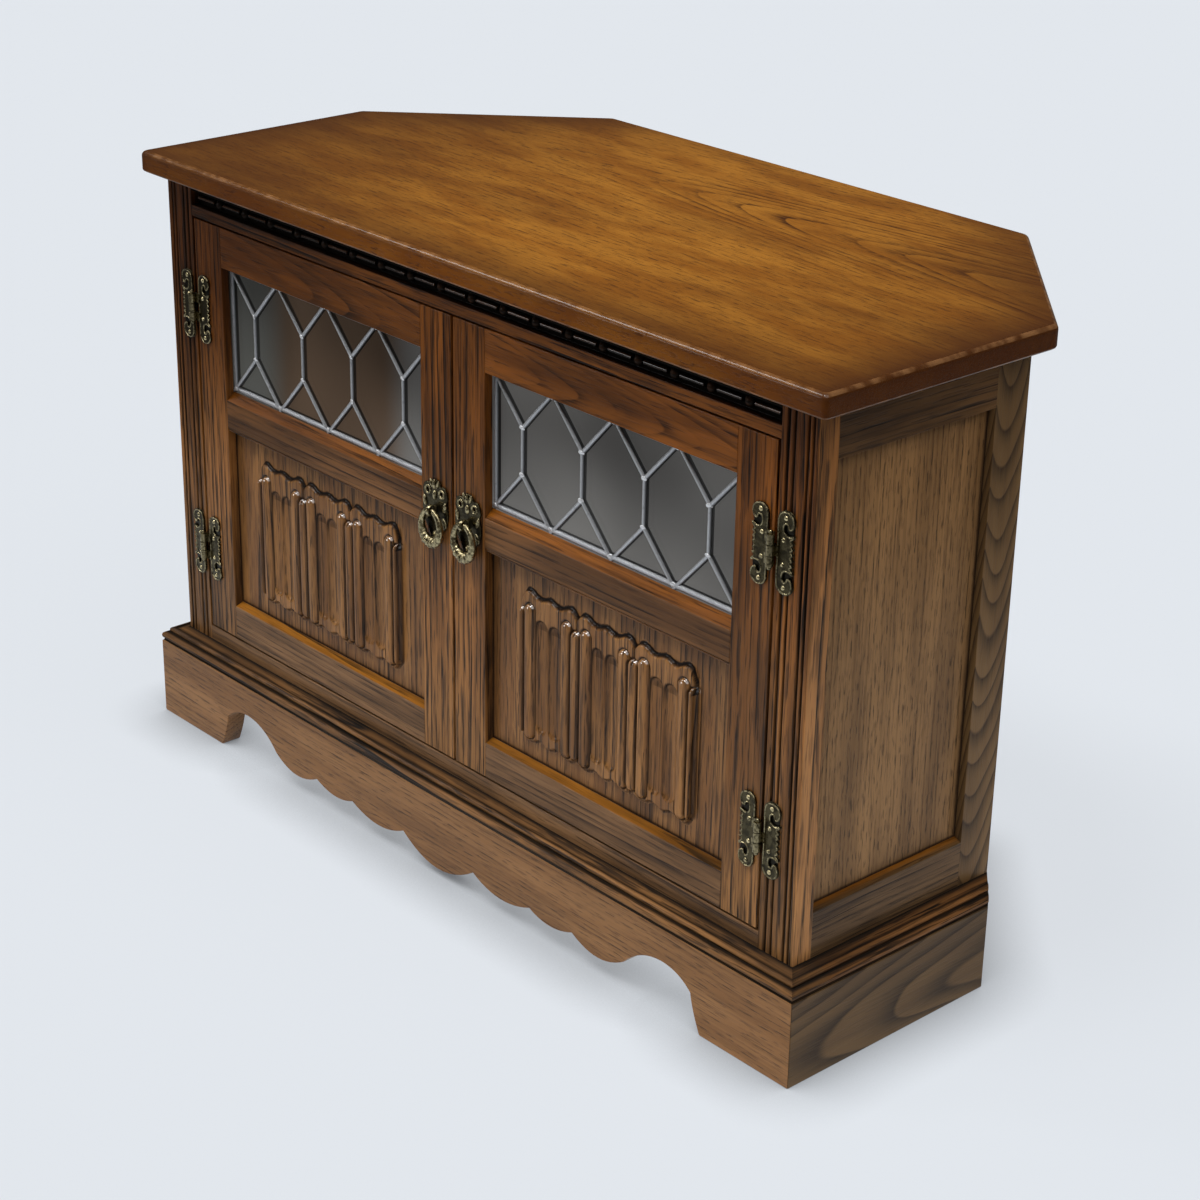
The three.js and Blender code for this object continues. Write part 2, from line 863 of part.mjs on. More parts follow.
function linenfoldPanel() {
  const board = boxBetween(
    [openingLeft - rebateWidth + fitGap, openingRight + rebateWidth - fitGap],
    [lipDepth, lipDepth + linenFieldThickness],
    [panelOpeningBottom - panelSillRise, doorMidRailBottom + rebateWidth - fitGap],
  );
  const hem = hemLine();
  const outline = [
    ...hem.map(([x, drop]) => [x, linenBlockBottom - drop]),
    ...[...hem].reverse().map(([x, drop]) => [x, linenBlockTop + drop]),
  ];
  const block = extrudeBack(outline, [lipDepth - linenPlateRise, lipDepth + linenFieldThickness / 2]);
  const ribs = [];
  for (const middle of foldCentres) {
    for (const { centre, width, top, bottom } of ribShares) {
      const z = [linenBlockBottom + bottom * linenCorner, linenBlockTop - top * linenCorner];
      for (const side of [-1, 1]) {
        ribs.push(linenRib(middle + side * centre * linenFoldHalf, (width * linenFoldHalf) / 2, z));
      }
    }
  }
  return joined([board, block, ...ribs]);
}

// Leaded glass

const unitLeft = openingLeft - rebateWidth + fitGap;
const unitRight = openingRight + rebateWidth - fitGap;
const unitTop = glassOpeningTop + rebateWidth - fitGap;
const cameBack = lipDepth + cameThickness;
const glassFront = cameBack + fitGap;
const glassBack = glassFront + glassThickness;
const rearCameFront = glassBack + fitGap;
const rearCameBack = rearCameFront + cameThickness;

// A flat lead bar between two points (x, z) on a layer of the window.
function leadBar(from, to, y) {
  const length = Math.hypot(to[0] - from[0], to[1] - from[1]);
  const bar = new THREE.BoxGeometry(length + cameWidth / 2, y[1] - y[0], cameWidth);
  bar.rotateY(-Math.atan2(to[1] - from[1], to[0] - from[0]));
  bar.translate((from[0] + to[0]) / 2, (y[0] + y[1]) / 2, (from[1] + to[1]) / 2);
  return bar;
}

// The net of one layer: a straight came in the middle of each cell, forked to the corners of the cell.
function leadNet(y) {
  const left = openingLeft;
  const low = glassSightBottom;
  const pitch = (openingRight - openingLeft) / leadCells;
  const middle = (low + glassOpeningTop) / 2;
  const straightHalf = (glassOpeningTop - low) * leadStraightShare;
  const bars = [];
  for (let cell = 0; cell < leadCells; cell += 1) {
    const x = left + (cell + 0.5) * pitch;
    bars.push(leadBar([x, middle - straightHalf], [x, middle + straightHalf], y));
    for (const side of [-1, 1]) {
      const edge = x + (side * pitch) / 2;
      bars.push(leadBar([x, middle + straightHalf], [edge, glassOpeningTop], y));
      bars.push(leadBar([x, middle - straightHalf], [edge, low], y));
    }
  }
  return bars;
}

// The border came: a channel round the edge of the pane that holds both nets.
function leadCames() {
  const whole = boxBetween([unitLeft, unitRight], [lipDepth, rearCameBack], [glassUnitBottom, unitTop]);
  const sight = boxBetween(
    [unitLeft + borderCameWidth + cameWidth, unitRight - borderCameWidth - cameWidth],
    [lipDepth - overrun, rearCameBack + overrun],
    [glassUnitBottom + borderCameWidth, unitTop - borderCameWidth - cameWidth],
  );
  const paneSpace = boxBetween(
    [unitLeft + cameThickness, unitRight - cameThickness],
    [cameBack, rearCameFront],
    [glassUnitBottom + cameThickness, unitTop - cameThickness],
  );
  const net = joined([
    cutFrom(whole, [sight]),
    ...leadNet([lipDepth, cameBack]),
    ...leadNet([rearCameFront, rearCameBack]),
  ]);
  return cutFrom(net, [paneSpace]);
}

function glassPane() {
  const edge = cameThickness + fitGap;
  return boxBetween(
    [unitLeft + edge, unitRight - edge],
    [glassFront, glassBack],
    [glassUnitBottom + edge, unitTop - edge],
  );
}

// The bead that holds the window in from behind.
function glazingBead() {
  const ring = boxBetween(
    [unitLeft, unitRight],
    [rearCameBack, doorThickness],
    [glassUnitBottom, unitTop],
  );
  const sight = boxBetween(
    [unitLeft + beadWidth, unitRight - beadWidth],
    [rearCameBack - overrun, doorThickness + overrun],
    [glassUnitBottom + beadWidth, unitTop - beadWidth],
  );
  return cutFrom(ring, [sight]);
}

// Hinges

// The upper half of a leaf's outline: shares of the leaf's width from the barrel, and of its half height.
const leafShares = [
  [0, 0.72],
  [0.08, 0.86],
  [0.27, 0.97],
  [0.52, 1],
  [0.8, 0.94],
  [0.98, 0.8],
  [1, 0.66],
  [0.88, 0.56],
  [0.68, 0.53],
  [0.54, 0.58],
  [0.52, 0.68],
  [0.44, 0.77],
  [0.33, 0.72],
  [0.3, 0.58],
  [0.42, 0.48],
  [0.7, 0.47],
  [1, 0.5],
  [0.95, 0.34],
  [0.8, 0.26],
  [0.93, 0.2],
  [0.8, 0.14],
  [0.93, 0.07],
];
const toothShare = [0.8, 0];
const nailShares = [
  [0.4, 0.84],
  [0.31, 0.3],
];

// A flat leaf on the face of the wood; away is 1 where it lies right of the barrel and -1 where it lies left.
function hingeLeaf(inner, away, z) {
  const at = ([u, v]) => [inner + away * u * hingeLeafWidth, z + v * hingeHalfHeight];
  const upper = leafShares.map(at);
  const lower = leafShares.map(([u, v]) => at([u, -v])).reverse();
  const outline = [...upper, at(toothShare), ...lower];
  const leaf = extrudeBack(outline, [-hingeLeafThickness, 0]);
  const nails = [];
  for (const [u, v] of nailShares) {
    for (const sign of [-1, 1]) {
      const [x, nailZ] = at([u, sign * v]);
      const length = nailRise + hingeLeafThickness / 2;
      const head = new THREE.CylinderGeometry(nailRadius, nailTipRadius, length, 6);
      head.translate(x, -(hingeLeafThickness + length) / 2, nailZ);
      nails.push(head);
    }
  }
  return joined([leaf, ...nails]);
}

// A solid turned about the hinge's axis, from (radius, height) points.
function turnedBarrel(profile, z) {
  const points = profile.map(([r, h]) => new THREE.Vector2(r, h));
  const barrel = new THREE.LatheGeometry(points, 8);
  barrel.rotateX(Math.PI / 2);
  barrel.translate(hingeAxisX, -hingeAxisForward, z);
  return barrel;
}

// The web that joins a knuckle to its leaf.
function hingeWeb(leafEdge, z) {
  const x = [Math.min(leafEdge, hingeAxisX), Math.max(leafEdge, hingeAxisX)];
  const front = hingePinRadius + hingePinClearance + fitGap - hingeAxisForward;
  return boxBetween(x, [front, -fitGap], z);
}

// The leaf on the post, with the middle knuckle bored for the pin.
function postLeaf(z) {
  const half = hingeKnuckleLength / 2;
  const bore = hingePinRadius + hingePinClearance;
  const knuckle = turnedBarrel(
    [
      [bore, -half],
      [hingeKnuckleRadius, -half],
      [hingeKnuckleRadius, half],
      [bore, half],
      [bore, -half],
    ],
    z,
  );
  const edge = hingeAxisX + hingePostLeafOffset;
  const web = hingeWeb(edge + hingeLeafThickness, [z - half, z + half]);
  return joined([hingeLeaf(edge, 1, z), web, knuckle]);
}

// The leaf on the door, with the outer knuckles and the pin with its ball ends.
function doorLeaf(z) {
  const inner = hingeKnuckleLength / 2 + hingePinClearance;
  const outer = inner + hingeKnuckleLength;
  const tip = outer + hingeFinialRise;
  const ball = arcPoints([0, tip - hingeFinialRadius], hingeFinialRadius, -35, 90, 3);
  const upper = [
    [hingePinRadius, inner],
    [hingeKnuckleRadius, inner],
    [hingeKnuckleRadius, outer],
    ...ball.slice(0, -1),
    [0, tip],
  ];
  const profile = [...upper.map(([r, h]) => [r, -h]).reverse(), ...upper];
  const edge = hingeAxisX - hingeDoorLeafOffset;
  const webs = [
    hingeWeb(edge - hingeLeafThickness, [z + inner, z + outer]),
    hingeWeb(edge - hingeLeafThickness, [z - outer, z - inner]),
  ];
  return joined([hingeLeaf(edge, -1, z), ...webs, turnedBarrel(profile, z)]);
}

// Handles

// The right half of the back plate's outline: shares of its half width and of its height.
const plateShares = [
  [0.1, 1],
  [0.42, 0.97],
  [0.5, 0.9],
  [0.8, 0.89],
  [0.98, 0.8],
  [0.92, 0.68],
  [1, 0.56],
  [0.95, 0.4],
  [0.72, 0.22],
  [0.5, 0.16],
  [0.42, 0.05],
  [0.15, 0],
];
const plateHoleShares = { centre: [0.55, 0.79], radius: 0.13 };

// The back plate: a scrolled plate with two scroll holes and the eye that carries the ring.
function handlePlate() {
  const tall = handlePlateAbove + handlePlateBelow;
  const at = (side) => ([u, v]) => [
    handleX + side * u * handlePlateHalfWidth,
    handlePlateBottom + v * tall,
  ];
  const outline = [...plateShares.map(at(1)).reverse(), ...plateShares.map(at(-1))];
  const plate = extrudeBack(outline, [-handlePlateThickness, 0]);
  const holes = [-1, 1].map((side) => {
    const [x, z] = at(side)(plateHoleShares.centre);
    const radius = plateHoleShares.radius * handlePlateHalfWidth;
    const hole = new THREE.CylinderGeometry(radius, radius, handlePlateThickness + 2 * overrun, 8);
    hole.translate(x, -handlePlateThickness / 2, z);
    return hole;
  });
  const eye = new THREE.CylinderGeometry(eyeWallRadius, eyeWallRadius, eyeWidth, 12);
  const bore = new THREE.CylinderGeometry(eyeBoreRadius, eyeBoreRadius, eyeWidth + 2 * overrun, 12);
  for (const part of [eye, bore]) {
    part.rotateZ(Math.PI / 2);
    part.translate(handleX, -ringForward, handlePivotHeight);
  }
  const stem = boxBetween(
    [handleX - eyeWidth / 2, handleX + eyeWidth / 2],
    [-ringForward, -handlePlateThickness / 2],
    [handlePivotHeight - eyeBoreRadius, handlePivotHeight + eyeBoreRadius],
  );
  const solidPlate = cutFrom(plate, holes);
  return cutFrom(joined([solidPlate, eye, stem]), [bore]);
}

// The drop ring: an oval loop, slim where it hangs in the eye and heavy at the bottom.
function dropRing() {
  const around = 24;
  const sides = 8;
  const points = [];
  const index = [];
  for (let i = 0; i < around; i += 1) {
    const angle = (i / around) * 2 * Math.PI;
    const share = (1 - Math.cos(angle)) / 2;
    const radius = ringTopRadius + (ringBottomRadius - ringTopRadius) * Math.sqrt(share);
    const centreX = ringHalfWidth * Math.sin(angle);
    const centreZ = ringHalfHeight * (Math.cos(angle) - 1);
    const outward = new THREE.Vector2(Math.sin(angle) / ringHalfWidth, Math.cos(angle) / ringHalfHeight);
    outward.normalize();
    for (let j = 0; j < sides; j += 1) {
      const turn = (j / sides) * 2 * Math.PI;
      const reach = radius * Math.cos(turn);
      points.push(
        handleX + centreX + outward.x * reach,
        -ringForward + radius * Math.sin(turn),
        handlePivotHeight + centreZ + outward.y * reach,
      );
      const a = i * sides + j;
      const b = i * sides + ((j + 1) % sides);
      const c = ((i + 1) % around) * sides + j;
      const d = ((i + 1) % around) * sides + ((j + 1) % sides);
      index.push(a, d, b, a, c, d);
    }
  }
  return indexedGeometry(points, index);
}

// One half of the cupboard: built as the right half, and mirrored for the left.
function addSide(name, mirror) {
  const side = new THREE.Group();
  side.scale.x = mirror;
  cupboard.add(side);
  place(side, `${name}_corner_post`, cornerPost(), bodyOak);
  place(side, `${name}_rear_stile`, rearStile(), bodyOak);
  place(side, `${name}_side_top_rail`, sideTopRailGeometry(), bodyOak);
  place(side, `${name}_side_bottom_rail`, sideBottomRailGeometry(), bodyOak);
  place(side, `${name}_side_panel`, sidePanel(), plinthOak);
  place(side, `${name}_shelf_batten`, shelfBatten(), insideOak);
  place(side, `${name}_cant_board`, cantBoard(), insideOak);
  place(side, `${name}_plinth_side`, plinthSide(), plinthOak);
  place(side, `${name}_base_moulding`, sideMoulding(), bodyOak);

  const door = new THREE.Group();
  side.add(door);
  place(door, `${name}_meeting_stile`, doorStileGeometry([doorInner, openingLeft], 1), bodyOak);
  place(door, `${name}_hinge_stile`, doorStileGeometry([openingRight, doorOuter], -1), bodyOak);
  place(door, `${name}_door_top_rail`, doorTopRailGeometry(), bodyOak);
  place(door, `${name}_door_mid_rail`, doorMidRailGeometry(), bodyOak);
  place(door, `${name}_door_bottom_rail`, doorBottomRailGeometry(), bodyOak);
  place(door, `${name}_linenfold_panel`, linenfoldPanel(), bodyOak);
  place(door, `${name}_lead_cames`, leadCames(), lead);
  place(door, `${name}_glass_pane`, glassPane(), clearGlass);
  place(door, `${name}_glazing_bead`, glazingBead(), insideOak);
  place(door, `${name}_handle_plate`, handlePlate(), brass);
  place(door, `${name}_drop_ring`, dropRing(), brass);

  const hinges = [
    ["upper", doorTop - hingeFromDoorTop],
    ["lower", doorBottom + hingeFromDoorBottom],
  ];
  for (const [level, z] of hinges) {
    place(side, `${name}_${level}_hinge_post_leaf`, postLeaf(z), brass);
    place(door, `${name}_${level}_hinge_door_leaf`, doorLeaf(z), brass);
  }
}

addSide("right", 1);
addSide("left", -1);

// The origin is the centre of the footprint's box, on the floor.
cupboard.position.y = -(topBack - plinthThickness) / 2;

export default cupboard;
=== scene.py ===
"""Looks of the corner cupboard: oak finishes, carving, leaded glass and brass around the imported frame."""

import logging
import math
import random
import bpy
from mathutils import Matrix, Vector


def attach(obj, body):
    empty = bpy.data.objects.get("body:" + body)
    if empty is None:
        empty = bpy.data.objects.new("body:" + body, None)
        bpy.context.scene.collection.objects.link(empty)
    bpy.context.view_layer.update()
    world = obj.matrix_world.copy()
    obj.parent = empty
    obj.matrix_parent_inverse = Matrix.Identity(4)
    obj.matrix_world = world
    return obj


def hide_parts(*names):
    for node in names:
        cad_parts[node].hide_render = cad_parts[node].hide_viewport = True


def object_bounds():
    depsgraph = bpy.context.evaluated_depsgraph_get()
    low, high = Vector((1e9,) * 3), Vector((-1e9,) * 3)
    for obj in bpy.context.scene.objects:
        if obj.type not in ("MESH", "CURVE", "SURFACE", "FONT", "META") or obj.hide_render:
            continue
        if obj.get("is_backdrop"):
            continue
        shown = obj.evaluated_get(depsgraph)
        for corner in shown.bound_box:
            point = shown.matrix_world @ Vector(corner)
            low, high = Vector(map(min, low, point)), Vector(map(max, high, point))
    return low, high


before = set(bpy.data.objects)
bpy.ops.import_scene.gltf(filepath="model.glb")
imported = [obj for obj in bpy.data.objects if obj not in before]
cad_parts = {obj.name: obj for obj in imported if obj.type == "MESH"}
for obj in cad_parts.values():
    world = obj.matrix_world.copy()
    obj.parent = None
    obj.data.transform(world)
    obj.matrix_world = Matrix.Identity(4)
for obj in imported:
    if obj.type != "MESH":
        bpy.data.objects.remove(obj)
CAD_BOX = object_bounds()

import zlib
from dataclasses import dataclass, replace
from enum import Enum
from typing import Any, Callable, Iterable, Sequence

import bmesh
import bpy
import numpy as np
from bpy.types import Material, Mesh, NodeTree, Object
from mathutils import Matrix, Vector

log = logging.getLogger("corner_cupboard")

Point = tuple[float, float]
Colour = tuple[float, float, float]

MM = 0.001
# The carcass face lies this far in front of the origin, in millimetres.
FACE_MM = 205.75
SMOOTH_ANGLE = math.radians(38)
SAME_POINT = 1e-6
FLAT_ANGLE = math.radians(0.5)


class Side(Enum):
    """A side of the cupboard, and the sign of its X."""

    RIGHT = 1
    LEFT = -1

    def __str__(self) -> str:
        """The side as the names of the pieces have it."""
        return self.name.lower()


def row_point(x: float, y: float, z: float) -> Vector:
    """A place in the row frame, in metres, from millimetres behind the carcass face."""
    return Vector((x, y - FACE_MM, z)) * MM


def put(name: str, data: bpy.types.ID) -> Object:
    """Puts a mesh, a curve, a lamp or a camera in the scene.

    Args:
        name: The object's name.
        data: What it holds.

    Returns:
        The object, at the origin.
    """
    made = bpy.data.objects.new(name, data)
    bpy.context.scene.collection.objects.link(made)
    return made


def mark(mesh: Mesh, label: str, values: Any, domain: str = "POINT") -> None:
    """Writes a number or a vector to every point or face of a mesh.

    Args:
        mesh: The mesh.
        label: The attribute's name.
        values: The values, or one number for them all.
        domain: "POINT" or "FACE".
    """
    laid = np.array(values, np.float32)
    if not laid.ndim:
        laid = np.full(len(mesh.vertices if domain == "POINT" else mesh.polygons), laid)
    kind, key = ("FLOAT_VECTOR", "vector") if laid.ndim == 2 else ("FLOAT", "value")
    mesh.attributes.new(label, kind, domain).data.foreach_set(key, laid.ravel())


# Shader writing


class Value:
    """A socket of a shader tree that takes part in sums."""

    def __init__(self, graph: "Graph", socket: bpy.types.NodeSocket) -> None:
        """Keeps the tree and the socket."""
        self.graph = graph
        self.socket = socket

    def math(self, operation: str, *others: Any) -> "Value":
        """One Math node on this value and the others."""
        return self.graph.math(operation, self, *others)

    def __add__(self, other: Any) -> "Value":
        """The sum."""
        return self.math("ADD", other)

    __radd__ = __add__

    def __mul__(self, other: Any) -> "Value":
        """The product."""
        return self.math("MULTIPLY", other)

    __rmul__ = __mul__

    def __sub__(self, other: Any) -> "Value":
        """The difference."""
        return self.math("SUBTRACT", other)

    def __rsub__(self, other: Any) -> "Value":
        """The difference, where the number stands first."""
        return self.graph.math("SUBTRACT", other, self)

    def __truediv__(self, other: Any) -> "Value":
        """The quotient."""
        return self.math("DIVIDE", other)

    def __pow__(self, other: Any) -> "Value":
        """The power."""
        return self.math("POWER", other)

    def smooth(self, low: float, high: float) -> "Value":
        """A share that runs smoothly from 0 where the value is low to 1 where it is high."""
        inputs = {"Value": self, "From Min": low, "From Max": high}
        return self.graph.node("ShaderNodeMapRange", {"interpolation_type": "SMOOTHSTEP"}, inputs)


class Graph:
    """A node tree that is being built."""

    def __init__(self, tree: NodeTree) -> None:
        """Starts with an empty tree."""
        self.tree = tree
        tree.nodes.clear()

    def node(self, kind: str, settings: dict, inputs: dict, output: Any = 0) -> Value:
        """Adds a node.

        Args:
            kind: The node's type.
            settings: Its settings.
            inputs: The values or links of its sockets, by name or number.
            output: The name or number of the socket wanted.

        Returns:
            That output.
        """
        made = self.tree.nodes.new(kind)
        for key, value in settings.items():
            setattr(made, key, value)
        for key, value in inputs.items():
            if isinstance(value, Value):
                self.tree.links.new(value.socket, made.inputs[key])
            else:
                made.inputs[key].default_value = value
        return Value(self, made.outputs[output])

    def end(self, kind: str, value: Value) -> None:
        """Links a value to the first socket of the tree's output node."""
        self.tree.links.new(value.socket, self.tree.nodes.new(kind).inputs[0])

    def math(self, operation: str, *operands: Any) -> Value:
        """One Math node on numbers and values."""
        return self.node("ShaderNodeMath", {"operation": operation}, dict(enumerate(operands)))

    def vector(self, x: Any, y: Any, z: Any) -> Value:
        """Three values as a vector."""
        return self.node("ShaderNodeCombineXYZ", {}, {"X": x, "Y": y, "Z": z})


class Shader(Graph):
    """The node tree of one material."""

    def __init__(self, name: str) -> None:
        """Starts a material."""
        self.material = bpy.data.materials.new(name)
        self.material.use_nodes = True
        super().__init__(self.material.node_tree)

    def axes(self, vector: Value) -> tuple[Value, Value, Value]:
        """The three values of a vector.

        Args:
            vector: The vector to take apart.

        Returns:
            Its values along X, Y and Z.
        """
        first = self.node("ShaderNodeSeparateXYZ", {}, {"Vector": vector}, "X")
        outputs = first.socket.node.outputs
        return first, Value(self, outputs["Y"]), Value(self, outputs["Z"])

    def attribute(self, name: str, output: str) -> Value:
        """An attribute of the mesh."""
        return self.node("ShaderNodeAttribute", {"attribute_name": name}, {}, output)

    def place(self) -> Value:
        """The place on the piece, in metres."""
        return self.node("ShaderNodeTexCoord", {}, {}, "Object")

    def noise(self, vector: Value, scale: float = 1.0, detail: float = 2.0) -> Value:
        """Soft noise from 0 to 1."""
        return self.node("ShaderNodeTexNoise", {}, {"Vector": vector, "Scale": scale, "Detail": detail})

    def mix(self, first: Any, second: Any, share: Any, blend: str = "MIX") -> Value:
        """Mixes two colours.

        Args:
            first: The colour at share 0.
            second: The colour at share 1.
            share: How much of the second colour shows.
            blend: The Mix node's blend type.

        Returns:
            The mixed colour.
        """
        settings = {"data_type": "RGBA", "blend_type": blend, "clamp_factor": True}
        pair = [c if isinstance(c, Value) else (*c, 1.0) for c in (first, second)]
        return self.node("ShaderNodeMix", settings, {0: share, 6: pair[0], 7: pair[1]}, 2)

    def tint(self, colour: Value, stain: "Stain", share: Value) -> Value:
        """A colour multiplied by an entry of the table of stains, painted shade and painted reflection."""
        return self.mix(colour, stain.value, share, "MULTIPLY")

    def bump(self, height: Value, depth: float, strength: float = 1.0) -> Value:
        """A normal that follows a height, where 1 stands for the depth in metres."""
        return self.node("ShaderNodeBump", {}, {"Height": height, "Distance": depth, "Strength": strength})

    def surface(self, inputs: dict) -> Material:
        """Ends the tree in one Principled shader with these inputs."""
        return self.finish(self.node("ShaderNodeBsdfPrincipled", {}, inputs))

    def finish(self, shader: Value) -> Material:
        """Ends the tree in a shader and hands over the material."""
        self.end("ShaderNodeOutputMaterial", shader)
        return self.material


# Finishes


class Stain(Enum):
    """What the stain multiplies the timber's colour by, place by place, with painted shade and a painted
    reflection among them.
    """

    TOP_EDGE = (1.0, 0.85, 0.5)
    # Warmer and darker towards the top: partly a deeper stain, partly painted shade under the top.
    UPPER = (1.0, 0.82, 0.55)
    POST_FLANK = (1.45, 1.62, 2.0)
    # Painted shade: the upper front darker, as under the overhanging top, and its upper left corner darker
    # still.
    UPPER_FRONT = (0.64, 0.53, 0.28)
    UPPER_CORNER = (0.36, 0.32, 0.3)
    # Painted reflection: the lower front greyer and bluer, like the pale floor mirrored in its finish.
    LOWER_FRONT = (0.95, 1.07, 1.25)
    CALM_RAIL = (0.68, 0.76, 1.02)
    # Calm rails on the sides darkened further: partly stain, partly painted shade under the top.
    CALM_FLANK = (0.7, 0.84, 1.0)
    SILL = (0.85, 0.7, 0.24)


@dataclass(frozen=True)
class Lines:
    """Drawn-out noise: how fine it runs along and across a board, its detail and where it sets in."""

    along: float
    across: float
    detail: float
    low: float = 0.0
    high: float = 0.0

    def draw(self, graph: Shader, board: Sequence[Value]) -> Value:
        """Draws the lines on a board.

        Args:
            graph: The material's tree.
            board: The place in the timber: along it, across it and through it.

        Returns:
            The noise, eased between both levels where they are given.
        """
        u, v, w = board
        stretched = graph.vector(u * self.along, v * self.across, w * self.across)
        noise = graph.noise(stretched, detail=self.detail)
        return noise.smooth(self.low, self.high) if self.high else noise


@dataclass(frozen=True)
class OakFinish:
    """Stained and waxed oak, drawn from each piece's place in its timber.

    Lengths are in metres. Figure, pores, streaks and clouds say how strongly each shows, and wear how
    strongly the arrises take a lighter colour, partly rubbed wear and partly a painted highlight. Rise and
    fall shape the dark part of a year ring, and steady says how evenly the rings are drawn.
    Warmth and shade say how far the colour follows its place on the cupboard. Warmth gives a warmer, darker
    stain towards the top that is partly painted shade under the top. Shade gives painted shade on the upper
    front and its left corner, and a painted reflection of the pale floor on the lower front. Rim is for the
    top board.
    """

    name: str
    slot: str
    light: Colour
    mid: Colour
    dark: Colour
    pore: Colour
    worn: Colour
    ring_pitch: float = 0.007
    wander: float = 0.012
    shake: float = 0.0023
    unevenness: float = 1.6
    figure: float = 1.26
    pores: float = 0.9
    streaks: float = 0.85
    clouds: float = 0.25
    wear: float = 0.5
    dash: float = 30.0
    rise: float = 0.07
    fall: float = 1.8
    steady: float = 0.15
    warmth: float = 0.0
    shade: float = 0.0
    roughness: float = 0.42
    specular: float = 0.1
    coat: float = 0.1
    edge_gloss: float = 0.8
    coat_roughness: float = 0.12
    coat_ior: float = 1.5
    relief: float = 0.0002
    rim: bool = False
    broad: Lines = Lines(2.2, 9.0, 2.0)
    fine: Lines = Lines(11.0, 80.0, 1.0)
    fibre: Lines = Lines(15.0, 420.0, 3.0, 0.38, 0.58)
    streak: Lines = Lines(16.0, 240.0, 2.0, 0.53, 0.63)
    blotch: Lines = Lines(4.0, 40.0, 4.0, 0.36, 0.64)
    cloud: Lines = Lines(3.5, 12.0, 4.0, 0.45, 0.68)
    # How pitch and force of the rings drift: from ring to ring, along the board, and the noise's slice.
    pitch_drift: tuple[float, float, float] = (0.45, 1.2, 5.0)
    force_drift: tuple[float, float, float] = (0.8, 4.5, 3.0)

    def build(self) -> Material:
        """Makes the material.

        Returns:
            The material.
        """
        graph = Shader(self.name)
        place = graph.axes(graph.place())
        colour, band, hairs = self._timber(graph, place)
        if self.rim:
            colour = self._top_stain(graph, colour, place)
        # Warmer and darker towards the top: partly a deeper stain, partly painted shade under the top.
        colour = graph.tint(colour, Stain.UPPER, place[2].smooth(0.3, 0.56) * self.warmth)
        if self.shade:
            colour = self._front_stain(graph, colour, place)
        flank = place[0].math("ABSOLUTE").smooth(0.43, 0.4374)
        calm = graph.attribute("stain", "Fac")
        sill = graph.attribute("sill", "Fac") * (1.0 - flank * 0.8)
        colour = graph.tint(colour, Stain.CALM_RAIL, calm * (1.0 - sill))
        # The side rails are darkened further, partly as stain and partly as painted shade under the top.
        colour = graph.tint(colour, Stain.CALM_FLANK, calm * flank)
        arris, hollow, gloss = (graph.attribute(label, "Fac") for label in ("arris", "hollow", "gloss"))
        # Arrises take a lighter colour in patches: partly rubbed wear, partly a painted highlight.
        patches = graph.noise(graph.place(), scale=55.0, detail=3.0).smooth(0.35, 0.65)
        colour = graph.mix(colour, self.worn, arris * patches * self.wear)
        colour = graph.tint(colour, Stain.SILL, sill)
        coat = (gloss + arris * self.edge_gloss + self.coat) * (1.0 - hollow * 0.5) * (1.0 - sill)
        height = 1.0 - (hairs * 0.5 + band * 0.6)
        return graph.surface(
            {
                # Marked hollows darken towards the pore colour: pooled stain, and painted shade in recesses
                # and quirks.
                "Base Color": graph.mix(colour, self.pore, hollow),
                "Roughness": band * 0.15 + hollow * 0.5 + self.roughness,
                "Specular IOR Level": self.specular,
                "Coat Weight": coat,
                "Coat IOR": self.coat_ior,
                "Coat Roughness": self.coat_roughness,
                "Normal": graph.bump(height, self.relief),
            }
        )

    def _timber(self, graph: Shader, place: Sequence[Value]) -> tuple[Value, Value, Value]:
        """The timber before it is stained by its place.

        Args:
            graph: The material's tree.
            place: The place on the cupboard.

        Returns:
            Its colour, the dark bands of its year rings and its open pores.
        """
        def drift(scales: Sequence[float]) -> Value:
            """Noise that changes from ring to ring."""
            return graph.noise(graph.vector(phase * scales[0], board[0] * scales[1], scales[2]), detail=1.0)

        board = graph.axes(graph.attribute("board", "Vector"))
        across, deep, lean = graph.axes(graph.attribute("rings", "Vector"))
        radius = (across * across + deep * deep).math("SQRT") + lean
        broad, fine, fibres, streaks, blotches, clouds = (
            lines.draw(graph, board)
            for lines in (self.broad, self.fine, self.fibre, self.streak, self.blotch, self.cloud)
        )
        hairs = Lines(self.dash, 700.0, 2.0, 0.52, 0.62).draw(graph, board)
        shake = (1.0 - self.steady) * self.shake
        phase = (radius + (broad - 0.5) * self.wander + (fine - 0.5) * shake) / self.ring_pitch
        phase = phase + (drift(self.pitch_drift) - 0.5) * self.unevenness
        ring = phase.math("FRACT")
        early = (1.0 - ring) ** self.fall * ring.smooth(0.0, self.rise)
        force = drift(self.force_drift).smooth(0.4, 0.62) * (1.0 - self.steady) + self.steady
        combed = 0.75 - self.steady * 0.6
        band = early * force * (fibres * combed + (1.0 - combed))
        if self.rim:
            # The top's arched figure shows along its back, to the right.
            waver = (graph.noise(graph.place(), scale=6.0) - 0.5) * 0.12
            beside = 1.0 - ((place[1] + waver - 0.1).math("ABSOLUTE")).smooth(0.02, 0.1)
            band = band * ((place[0] + waver).smooth(-0.12, 0.12) * beside + 0.12)
        busy = graph.attribute("busy", "Fac")
        calmer = busy * 0.5 + 0.5
        colour = graph.mix(self.light, self.mid, blotches)
        colour = graph.mix(colour, self.dark, clouds * self.clouds)
        colour = graph.mix(colour, self.dark, streaks * (early * 0.6 + 0.4) * self.streaks * busy)
        colour = graph.mix(colour, self.dark, band * self.figure * calmer)
        colour = graph.mix(colour, self.pore, hairs * (early * 0.75 + 0.25) * self.pores * calmer)
        return colour, band, hairs

